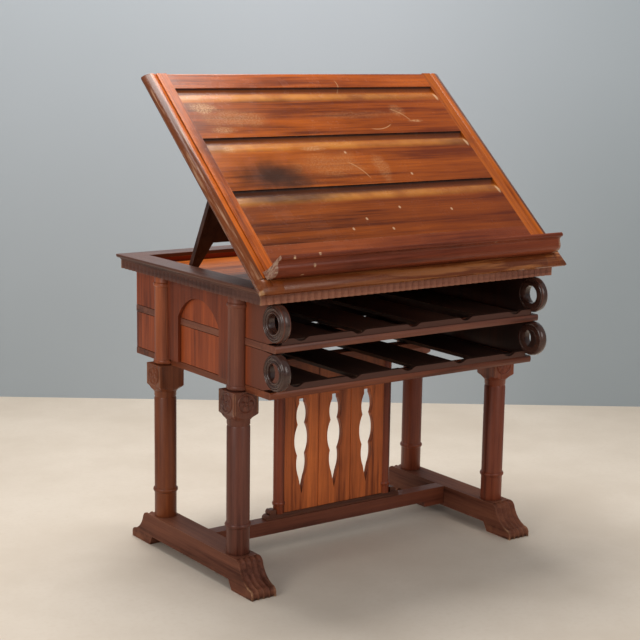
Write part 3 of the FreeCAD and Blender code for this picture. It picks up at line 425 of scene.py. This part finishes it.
def capital_block(mesh, foot):
    """Square block whose lower end turns into the round neck."""
    rows = []
    for height, roundness in CAPITAL_LEVELS:
        row = []
        for step in range(CAPITAL_STEPS):
            angle = 2 * math.pi * step / CAPITAL_STEPS
            square = CAPITAL_HALF / max(abs(math.cos(angle)), abs(math.sin(angle)))
            radius = square + (NECK_RADIUS - square) * roundness
            row.append(mesh.verts.new(foot + Vector((radius * math.cos(angle), radius * math.sin(angle), height))))
        rows.append(row)
    for upper, lower in zip(rows, rows[1:]):
        for step in range(CAPITAL_STEPS):
            after = (step + 1) % CAPITAL_STEPS
            mesh.faces.new((upper[step], upper[after], lower[after], lower[step]))
    mesh.faces.new(rows[0])
    mesh.faces.new(rows[-1])


def fillet(mesh, foot, outward):
    """Upright half-round strip on a face of a capital."""
    side = outward.cross(Vector(TO_TOP))
    section = [side * FILLET_HALF * math.cos(turn) + outward * (FILLET_HALF * math.sin(turn) - FILLET_SUNK)
               for turn in (math.pi * step / 6 for step in range(7))]
    rows = [[mesh.verts.new(foot + point + Vector((0, 0, height))) for point in section]
            for height in (FILLET_FROM, FILLET_TO)]
    for index in range(len(section) - 1):
        mesh.faces.new((rows[0][index], rows[0][index + 1], rows[1][index + 1], rows[1][index]))
    for row in rows:
        mesh.faces.new(row)
    mesh.faces.new((rows[0][0], rows[0][-1], rows[1][-1], rows[1][0]))


COLUMN_WOODS = {("front", "left"): tones(98, 53, 40), ("rear", "left"): tones(115, 58, 30),
                ("front", "right"): tones(124, 59, 36), ("rear", "right"): tones(124, 61, 39)}
seed = 10
for (end, side), wood in COLUMN_WOODS.items():
    seed += 1
    material = hardwood(f"column_{end}_{side}_wood", Z, wood, seed, gloss=0.3, wear=0.6)
    dress(f"column_{end}_{side}", material)
    x = -1 if side == "left" else 1
    y = -1 if end == "front" else 1
    foot = CASE_MIDDLE + Vector((x * COLUMN_X, y * COLUMN_Y, 0))
    mesh = bmesh.new()
    capital_block(mesh, foot)
    made(f"capital_{end}_{side}", mesh, material, "stand", "case_wood")
    mesh = bmesh.new()
    for outward in (Vector((x, 0, 0)), Vector((0, y, 0))):
        face = foot + outward * CAPITAL_HALF
        relief(mesh, face + Vector((0, 0, ROSETTE_HEIGHT)), outward, Vector(TO_TOP), ROSETTE_RADIUS, rosette)
        for edge in (-1, 1):
            fillet(mesh, face + outward.cross(Vector(TO_TOP)) * edge * FILLET_OFFSET, outward)
    made(f"carving_{end}_{side}", mesh, material, "stand", "case_wood")

# Screen. Three thin boards with sawn baluster piercings stand between two turned colonnettes on a moulded sill.
# They are of a clearer, more orange wood than the rest.
def shaded_top(finish, place, colour, rough):
    """Top of the screen with painted shade, where the trays over it keep the light off."""
    # Painted shade: the top of the boards darkens towards the trays.
    top = place.toward(TO_TOP).ramp(0.495, 0.535)
    return finish.blend(top * 0.6, colour, GRIME_AND_SHADE), rough


for side, seed in (("left", 21), ("middle", 22), ("right", 23)):
    dress(f"screen_board_{side}", hardwood(f"screen_{side}_wood", Z, tones(184, 94, 44), seed, figure=1.2, wear=0.35,
                                           marks=shaded_top), ease=0.0008)
for side, seed in (("left", 24), ("right", 25)):
    dress(f"screen_colonnette_{side}", hardwood(f"colonnette_{side}_wood", Z, tones(126, 57, 32), seed, gloss=0.28))
dress("screen_sill", hardwood("sill_wood", X, tones(96, 54, 38), 26))

# Shelf frames. Two mortised frames of flat mahogany rails carry the trays: one lies on the capitals, one between the
# trays. The edges of their rails are rubbed by the books that go in and out.
for level_name, wood, seed in (("lower", tones(112, 56, 32), 31), ("upper", tones(112, 64, 48), 35)):
    across = hardwood(f"{level_name}_rail_wood", X, wood, seed, wear=0.7)
    deep = hardwood(f"{level_name}_runner_wood", Y, wood, seed + 1)
    for part in ("front", "rear") + (("middle",) if level_name == "lower" else ()):
        dress(f"{level_name}_shelf_{part}", across)
    for side in ("left", "right"):
        dress(f"{level_name}_shelf_runner_{side}", deep)

# Half columns and arched sides. Turned columns split in two stand on the capitals, with a thin board of figured wood
# let in between them whose round arch shows the side of the trays.
seed = 40
for end, side, half_wood in (("front", "left", tones(112, 62, 46)), ("rear", "left", tones(146, 76, 45)),
                             ("front", "right", tones(124, 62, 40)), ("rear", "right", tones(124, 62, 40))):
    seed += 1
    dress(f"half_column_{end}_{side}", hardwood(f"half_column_{end}_{side}_wood", Z, half_wood, seed, gloss=0.28))
for side, seed in (("left", 45), ("right", 46)):
    dress(f"arch_board_{side}", hardwood(f"arch_{side}_wood", Z, tones(115, 50, 24), seed, figure=1.2, wear=0.3))

# Case top. A frieze cut with a row of upright gouges walls in the well, and mitred boards with a thumb-moulded edge
# lie on it. The well's floor is lighter, where no light has darkened it. Saw-toothed racks hold the prop's foot.
for part, along, wood, seed in (("front", X, tones(148, 94, 74), 51), ("rear", X, tones(120, 36, 8), 52),
                                ("left", Y, tones(92, 56, 46), 53), ("right", Y, tones(112, 64, 48), 54)):
    dress(f"frieze_{part}", hardwood(f"frieze_{part}_wood", along, wood, seed, wear=0.75), ease=0.0006)
    dress(f"cap_{part}", hardwood(f"cap_{part}_wood", along, tones(88, 49, 34), seed + 4, gloss=0.3, coat=0.2))
dress("well_floor", hardwood("well_wood", X, tones(168, 88, 32), 59, gloss=0.24, coat=0, shine=0.1))
for side, seed in (("left", 60), ("right", 61)):
    dress(f"rack_{side}", hardwood(f"rack_{side}_wood", Y, tones(112, 66, 44), seed, coat=0.1), ease=0.0006)

# Book trays. Each runs on its frame: two side boards that end in pierced rings to pull it by, a scalloped rail at
# each end and slats for a floor. The rings are turned on the face plate, with beads and a bull-nosed rim, and the
# inside is painted black as shade, with a dark rear wall that closes it.
TRAY_MIDDLE = 0.47725
RING_STEPS = 96
# Radius and height over the side board, in millimetres.
RING_SECTION = (
    (27.3, -9), (28.4, -11.6), (31, -12.6), (43, -12.6), (45.5, -12.0), (46.5, -12.6), (48.5, -13.2), (51.4, -11.6),
    (53.6, -8), (54.9, -3), (55.1, 2), (54.4, 7), (52.8, 11), (50.4, 13.6), (48, 14.2), (46.6, 13.2), (46.2, 12.2),
    (45.4, 13.2), (43.8, 14.6), (41.9, 15.1), (40, 14.4), (38.9, 13.1), (38.4, 11.8), (37.2, 11.5), (35.8, 11.6),
    (34.8, 12.2), (34.2, 13.8), (32.6, 15.3), (30.8, 15.6), (29, 14.6), (27.7, 12.4), (27.2, 8))


def turned_ring(name, centre, size, outward, material, body):
    """Ring spun round the X axis from its section of radius and height."""
    mesh = bmesh.new()
    rows = []
    for step in range(RING_STEPS):
        angle = 2 * math.pi * step / RING_STEPS
        spoke = Vector((0, math.cos(angle), math.sin(angle)))
        rows.append([mesh.verts.new(centre + spoke * radius * size / 1000 + Vector((outward * rise / 1000, 0, 0)))
                     for radius, rise in RING_SECTION])
    for step, row in enumerate(rows):
        after = rows[(step + 1) % RING_STEPS]
        for index in range(len(row)):
            follow = (index + 1) % len(row)
            mesh.faces.new((row[index], row[follow], after[follow], after[index]))
    made(name, mesh, material, body, "case_wood")


REAR_WALL_HALF = 0.466
REAR_WALL_FRONT = 0.4035
REAR_WALL_BACK = 0.4171
REAR_WALL = {"upper": (0.7545, 0.8545), "lower": (0.6195, 0.7155)}
TRAY_INSIDE = 0.4668
HANDLED_BROWN = paint(98, 54, 40)
INNER_SHADE_BLACK = paint(34, 20, 15)
FRONT_BROWN = paint(80, 47, 36)
BACK_BROWN = paint(112, 68, 52)


def bar(mesh, low, high, half):
    """Square-edged board between two corners, as far to the left as to the right."""
    corners = [mesh.verts.new((x, y, z)) for x in (-half, half) for y in (low.y, high.y) for z in (low.z, high.z)]
    for face in ((0, 1, 3, 2), (4, 6, 7, 5), (0, 4, 5, 1), (2, 3, 7, 6), (0, 2, 6, 4), (1, 5, 7, 3)):
        mesh.faces.new([corners[index] for index in face])


def handled_and_shaded(finish, place, colour, rough):
    """Tray side, brown where hands hold it, and painted black on its inner face as the shade inside the case."""
    inner = 1 - abs(place.toward(TO_RIGHT)).ramp(TRAY_INSIDE, TRAY_INSIDE + 0.0007)
    handled = 1 - place.toward(TO_REAR).ramp(-0.26, -0.19)
    colour = finish.blend(handled * 0.85, colour, HANDLED_BROWN)
    # Painted shade: the inner face is black.
    return finish.blend(inner * 0.9, colour, INNER_SHADE_BLACK), rough + inner * 0.1


def faced(front):
    """Floor and rear wall, black inside as painted shade, dark brown on the front rail and brown at the back."""
    def marks(finish, place, colour, rough):
        depth = place.toward(TO_REAR)
        handled = 1 - depth.ramp(front + 0.0012, front + 0.0018)
        outer = depth.ramp(REAR_WALL_BACK - 0.0012, REAR_WALL_BACK - 0.0006)
        colour = finish.blend(handled * 0.95, colour, FRONT_BROWN)
        return finish.blend(outer * 0.95, colour, BACK_BROWN), rough - (handled + outer) * 0.1
    return marks


# Tray, front edge of its floor, middle of its rings, their size against the section, and seed.
TRAYS = (("upper", -0.3617, Vector((0, -0.3537, 0.79988)), 1.0, 65),
         ("lower", -0.3417, Vector((0, -0.3587, 0.66278)), 0.972, 75))
for tray, front, ring, size, seed in TRAYS:
    body = f"{tray}_tray"
    # The near black floor wood is painted shade for the inside of the case.
    shaded_floor_wood = hardwood(f"{tray}_tray_floor_wood", Y, tones(50, 29, 21), seed, gloss=0.5, coat=0,
                          marks=faced(front))
    dress(f"{tray}_tray_floor", shaded_floor_wood)
    # A dark rear wall, with the floor's painted shade, closes each tray where only dark shows through its slats.
    mesh = bmesh.new()
    low, high = REAR_WALL[tray]
    bar(mesh, Vector((0, REAR_WALL_FRONT, low)), Vector((0, REAR_WALL_BACK, high)), REAR_WALL_HALF)
    made(f"{tray}_tray_rear_wall", mesh, shaded_floor_wood, body, "case_wood")
    for side, x in (("left", -1), ("right", 1)):
        seed += 1
        dress(f"{tray}_tray_side_{side}",
              hardwood(f"{tray}_tray_{side}_wood", Z, tones(146, 66, 30), seed, marks=handled_and_shaded))
        ring_wood = hardwood(f"{tray}_ring_{side}_wood", Y, tones(70, 45, 38), seed + 4, gloss=0.12, coat=0.5,
                             wear=0.7)
        turned_ring(f"{tray}_ring_{side}", ring + Vector((x * TRAY_MIDDLE, 0, 0)), size, x, ring_wood, body)

# Reading board. Two stiles and two rails with a rolled edge, tenoned together, hold three panels. Each panel is sunk
# along its top edge by a groove and a long slope. Books have scuffed the panels, and damp has darkened a patch.
TILT = math.radians(40.79)
BOARD_FRONT = Vector((0, -0.4067, 0.896))
flat = Matrix.Rotation(-TILT, 3, "X")
BOARD_SHIFT = tuple(flat @ -BOARD_FRONT)
BOARD_TURN = (-TILT, 0, 0)
SLOPE_ALONG = Vector((0, math.cos(TILT), math.sin(TILT)))
SLOPE_UP = Vector((0, -math.sin(TILT), math.cos(TILT)))
PALE_WEAR_AND_GLINT = paint(226, 190, 150)
DUST = paint(206, 160, 112)
SMOKE = paint(56, 32, 20)
SLOPE_LIGHT_TONE = paint(206, 136, 56)
FRONT_WORN = paint(184, 118, 66)
GROOVE_SHADE_TONE = paint(78, 42, 22)
NOSING_TONE = paint(112, 56, 26)
ROLL_TONE = paint(88, 47, 27)
NOSING_HIGHLIGHT = paint(190, 150, 118)

PANEL_PITCH = 0.210
PANEL_TOP = 0.786
PANEL_HALF = 0.487
PANEL_BACK = -0.0109
BOARD_FACE = 0.011
# Millimetres below a panel's top edge and over its face.
GROOVE = ((0, -3.0), (1.5, -3.2), (3, -4.6), (6, -6.4), (10, -7.6), (14, -8.0), (18, -7.7), (23, -6.5), (30, -4.6),
          (37, -2.7), (43, -1.2), (48, -0.3), (52, 0))
# Pale painted glints on the curved stopped ends of the grooves.
GROOVE_END_GLINT_X = 0.479
GROOVE_END_GLINT_DROP = 0.048
GROOVE_END_GLINT_SIZE = (0.006, 0.02, 1)
STILE_ROLL = 0.5395
RAIL_ROLL = 0.045
CORNER_CHIP = (-0.562, 0.002, 0.002)
CORNER_CHIP_SIZE = (0.012, 0.010, 0.014)
REDDER = paint(104, 36, 8)
# Patches and scuffs: middle and reach across and along the board, and strength.
SMOKE_PATCHES = (((-0.32, 0.415), (0.14, 0.075), 0.95), ((-0.25, 0.385), (0.10, 0.03), 0.6),
                 ((-0.30, 0.330), (0.24, 0.030), 0.75), ((0.0, 0.345), (0.30, 0.016), 0.5),
                 ((-0.47, 0.535), (0.07, 0.03), 0.4), ((0.44, 0.53), (0.09, 0.02), 0.4))
SCUFFS = (((-0.432, 0.700), (0.055, 0.028), 0.9), ((-0.405, 0.607), (0.05, 0.016), 0.6),
          ((-0.34, 0.655), (0.14, 0.04), 0.4), ((-0.1, 0.45), (0.15, 0.06), 0.22), ((0.08, 0.43), (0.03, 0.06), 0.25),
          ((0.28, 0.675), (0.03, 0.03), 0.25), ((0.33, 0.628), (0.035, 0.008), 0.7), ((0.1, 0.66), (0.2, 0.02), 0.15),
          ((-0.13, 0.52), (0.05, 0.012), 0.5), ((-0.42, 0.53), (0.03, 0.02), 0.5))
SPOTS = ((0.055, 0.267), (0.245, 0.247), (-0.088, 0.230), (-0.014, 0.186), (-0.155, 0.195), (0.18, 0.40),
         (-0.02, 0.50))
SPOT_SIZE = (0.0045, 0.006, 1)
# Scratches: arcs about a middle with a radius, seen only within a reach of a second place.
SCRATCHES = (((0.23, 0.60), 0.085, (0.29, 0.66), 0.045), ((0.16, 0.70), 0.105, (0.18, 0.60), 0.05),
             ((0.06, 0.80), 0.05, (0.10, 0.79), 0.03), ((-0.1, 0.36), 0.12, (0.0, 0.43), 0.05))


def upper_face(place):
    """1 on the reading side of the board and 0 on its back."""
    return place.toward(TO_TOP).ramp(-0.002, 0.0015)


def used(finish, place, colour, rough):
    """Scuffs, dents, scratches and dark patches of the reading face, which turns redder to the right."""
    grit = place.noise(190, 4, 0.75)
    patch = place.noise(17, 4, 0.6)
    face = upper_face(place)
    right_share = place.toward(TO_RIGHT).ramp(-0.35, 0.45)
    colour = finish.blend(right_share * 0.42, colour, REDDER)
    for (x, y), (wide, high), strength in SMOKE_PATCHES:
        smoke = 1 - (place.spot((x, y, 0), (wide, high, 1)) + (patch - 0.5) * 0.7).ramp(0.15, 1.2)
        colour = finish.blend(smoke * face * strength, colour, SMOKE)
    for (x, y), (wide, high), strength in SCUFFS:
        area = 1 - (place.spot((x, y, 0), (wide, high, 1)) + (patch - 0.5) * 1.6).ramp(0.3, 1.1)
        dusty = 0.2 + grit.ramp(0.42, 0.62) * 0.8
        colour = finish.blend(area * dusty * face * strength, colour, DUST)
    for x, y in SPOTS:
        dot = 1 - place.spot((x, y, 0), SPOT_SIZE).ramp(0.6, 1.1)
        colour = finish.blend(dot * face * 0.5, colour, PALE_WEAR_AND_GLINT)
    for (x, y), radius, (ax, ay), reach in SCRATCHES:
        arc = abs(place.spot((x, y, 0), (radius, radius, 1)) - 1)
        near = 1 - place.spot((ax, ay, 0), (reach, reach, 1)).ramp(0.6, 1)
        line = (1 - (arc * radius).ramp(0.0006, 0.0022)) * near
        colour = finish.blend(line * face * (0.35 + grit * 0.4), colour, DUST)
    return colour, rough + patch.ramp(0.4, 0.7) * 0.1


def grooved(finish, place, colour, rough):
    """Panel with a painted shadow in the quirk of its groove, painted shade in the hollow, painted light on the slope
    below it and painted glints at the groove ends.
    """
    down = PANEL_TOP - place.toward(TO_REAR)
    below = down.math("FLOORED_MODULO", down, PANEL_PITCH)
    drift = place.noise(9, 3, 0.6)
    face = upper_face(place)
    shaded_hollow = 1 - below.ramp(0.014, 0.028)
    slope = below.ramp(0.018, 0.030) * (1 - below.ramp(0.048, 0.068)) * (0.45 + drift.ramp(0.35, 0.65) * 0.55)
    # Painted light: the slope below each groove is lit paler and more golden.
    colour = finish.blend(slope * face * 0.7, colour, SLOPE_LIGHT_TONE)
    colour, rough = used(finish, place, colour, rough)
    # Painted shade in the hollow of the groove.
    colour = finish.blend(shaded_hollow * face * (0.35 + drift * 0.4), colour, GROOVE_SHADE_TONE)
    # Painted shadow: the quirk under the rail's edge is near black.
    colour = finish.blend((1 - below.ramp(0.0025, 0.0060)) * face * 0.85, colour, GRIME_AND_SHADE)
    # Painted glints on the curved stopped ends of the grooves.
    for number in range(3):
        centre = (GROOVE_END_GLINT_X, PANEL_TOP - PANEL_PITCH * number - GROOVE_END_GLINT_DROP, 0)
        end = 1 - place.spot(centre, GROOVE_END_GLINT_SIZE).ramp(0.5, 1.1)
        colour = finish.blend(end * face * 0.45, colour, PALE_WEAR_AND_GLINT)
    return colour, rough


def framed(finish, place, colour, rough):
    """Frame whose rolled edges are brown with painted highlight streaks, with the marks of the reading face on its
    flat.
    """
    colour, rough = used(finish, place, colour, rough)
    across = place.toward(TO_RIGHT)
    streaks = place.squeezed((110, 6, 110)).noise(1, 3, 0.6)
    outer = abs(across).ramp(STILE_ROLL, STILE_ROLL + 0.001)
    colour = finish.blend(outer * 0.85, colour, ROLL_TONE)
    # Painted highlight: pale streaks along the outer roll of the stiles.
    colour = finish.blend(outer * streaks.ramp(0.52, 0.7) * 0.6, colour, NOSING_HIGHLIGHT)
    front = 1 - place.toward(TO_REAR).ramp(RAIL_ROLL, RAIL_ROLL + 0.002)
    colour = finish.blend(front * 0.85, colour, NOSING_TONE)
    rubbed = place.squeezed((4, 70, 70)).noise(1, 3, 0.6).ramp(0.46, 0.62) * (0.15 + across.ramp(-0.5, 0.5) * 0.6)
    colour = finish.blend(front * rubbed, colour, FRONT_WORN)
    corner = 1 - (place.spot(CORNER_CHIP, CORNER_CHIP_SIZE) + (streaks - 0.5)).ramp(0.6, 1.1)
    return finish.blend(corner * 0.5, colour, DUST), rough


def on_board(x, along, rise):
    """Point along and above the middle plane of the tilted board."""
    return BOARD_FRONT + Vector((x, 0, 0)) + SLOPE_ALONG * along + SLOPE_UP * rise


def swept(mesh, section, half):
    """Bar from left to right from its section of points along and above the tilted board."""
    rows = [[mesh.verts.new(on_board(x, along, rise)) for along, rise in section] for x in (-half, half)]
    for index in range(len(section)):
        after = (index + 1) % len(section)
        mesh.faces.new((rows[0][index], rows[0][after], rows[1][after], rows[1][index]))
    mesh.faces.new(rows[0])
    mesh.faces.new(rows[1])


PANEL_WOODS = (("upper", tones(152, 72, 12), 81), ("middle", tones(146, 70, 12), 82), ("lower", tones(120, 55, 10), 83))
for number, (name, wood, seed) in enumerate(PANEL_WOODS):
    top = PANEL_TOP - PANEL_PITCH * number
    section = [(top - PANEL_PITCH, BOARD_FACE), (top - PANEL_PITCH, PANEL_BACK), (top, PANEL_BACK)]
    section += [(top - down / 1000, BOARD_FACE + rise / 1000) for down, rise in GROOVE]
    mesh = bmesh.new()
    swept(mesh, section, PANEL_HALF)
    panel_wood = hardwood(f"panel_{name}_wood", X, wood, seed, BOARD_SHIFT, BOARD_TURN, gloss=0.1, coat=0.05,
                          figure=1.4, shine=0.2, marks=grooved)
    piece = made(f"panel_{name}", mesh, panel_wood, "board", "board_wood")
    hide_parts(f"board_panel_{name}")

for name, along, wood, seed in (
        ("rail_top", X, tones(176, 84, 18), 84), ("rail_bottom", X, tones(122, 56, 22), 85),
        ("stile_left", Y, tones(186, 90, 18), 86), ("stile_right", Y, tones(190, 98, 20), 87)):
    dress(f"board_{name}", hardwood(f"{name}_wood", along, wood, seed, BOARD_SHIFT, BOARD_TURN, gloss=0.12, coat=0.08,
                                    figure=1.2, wear=0.8, shine=0.25, marks=framed), ease=0.0016)

# Book stop. A moulded mahogany lip glued on the board keeps the books from sliding off. It is dark from hands, with
# pale chips along its nosing and end grain at its splayed ends.
END_GRAIN = paint(186, 156, 134)
# Chips: place on the board and reach.
CHIPS = ((-0.473, 0.044, 0.087, 0.010), (-0.389, 0.051, 0.090, 0.010), (-0.428, 0.032, 0.026, 0.011),
         (-0.397, 0.037, 0.058, 0.009), (0.252, 0.047, 0.080, 0.008), (0.248, 0.040, 0.066, 0.007))
STOP_END = 0.5165


def chipped(finish, place, colour, rough):
    """Stop chipped to bare wood in a few places, with the grain of its sawn ends."""
    grit = place.noise(260, 3, 0.6).ramp(0.35, 0.6)
    for x, y, z, reach in CHIPS:
        chip = 1 - place.spot((x, y, z), (reach * 0.5, reach * 0.7, reach * 0.7)).ramp(0.4, 1.2)
        colour = finish.blend(chip * grit * 0.95, colour, PALE_WEAR_AND_GLINT)
    end = abs(place.toward(TO_RIGHT)).ramp(STOP_END, STOP_END + 0.001)
    stripes = place.squeezed((1, 260, 90)).noise(1, 3, 0.6).ramp(0.4, 0.62)
    return finish.blend(end * (0.25 + stripes * 0.6), colour, END_GRAIN), rough


dress("book_stop", hardwood("stop_wood", X, tones(118, 54, 32), 91, BOARD_SHIFT, BOARD_TURN, gloss=0.2, coat=0.05,
                            wear=0.8, shine=0.15, marks=chipped))

# Prop. One wide dark brown mahogany panel cut out between its two feet. It hangs on hinges by its top edge, and its
# feet stand in the racks.
dress("prop_panel", hardwood("prop_wood", Z, tones(74, 44, 34), 95, gloss=0.3, wear=0.9))

# Hinges. Brass leaves, dulled brown in spots: the board's lie on the wood and the prop's are let in flush. Each is held
# by two or three slotted countersunk screws.
HINGE_X = 0.33
PROP_HINGE_X = 0.30
HINGE_SCREWS = (-0.021, 0, 0.021)
PROP_HINGE_SCREWS = (-0.027, 0.027)
# Depth and height of the screws in the cap, and how far along and above the board the others sit.
CAP_SCREW_LINE = (-0.362, 0.9025)
BOARD_SCREW_LINE = (0.0415, -0.0125)
PROP_SCREW_LINE = (0.5085, -0.011)
SCREW_RADIUS = 0.0034

finish = Finish("brass")
place = finish.place()
spots = place.noise(90, 4, 0.6)
brass = finish.surface(Base_Color=finish.blend(spots.ramp(0.4, 0.7), paint(176, 142, 84), paint(96, 70, 40)),
                       Metallic=1.0, Roughness=0.3 + spots * 0.25)


def screw_head(share, angle):
    """Low dome with a straight slot."""
    if share > 0.97:
        return -0.0003
    slot = abs(share * math.sin(angle)) < 0.14
    return 0.0002 + 0.0005 * (1 - share ** 2) - (0.0006 if slot and share < 0.93 else 0)


for side, sign in (("left", -1), ("right", 1)):
    for name in (f"hinge_cap_leaf_{side}", f"hinge_board_leaf_{side}", f"prop_hinge_{side}"):
        dress(name, brass, ease=0.0003)
    cap_places = [Vector((sign * HINGE_X + x, *CAP_SCREW_LINE)) for x in HINGE_SCREWS]
    board_places = [on_board(sign * HINGE_X + x, *BOARD_SCREW_LINE) for x in HINGE_SCREWS]
    prop_places = [on_board(sign * PROP_HINGE_X + x, *PROP_SCREW_LINE) for x in PROP_HINGE_SCREWS]
    for leaf, body, outward, places in (("cap", "stand", Vector(TO_TOP), cap_places),
                                        ("board", "board", -SLOPE_UP, board_places),
                                        ("prop", "board", -SLOPE_UP, prop_places)):
        mesh = bmesh.new()
        for number, centre in enumerate(places):
            slot_turn = Matrix.Rotation(0.7 + 1.9 * number + sign, 3, outward)
            relief(mesh, centre, outward, slot_turn @ Vector((1, 0, 0)), SCREW_RADIUS, screw_head, 14, 40)
        made(f"screws_{leaf}_{side}", mesh, brass, body, "brass_hinges")
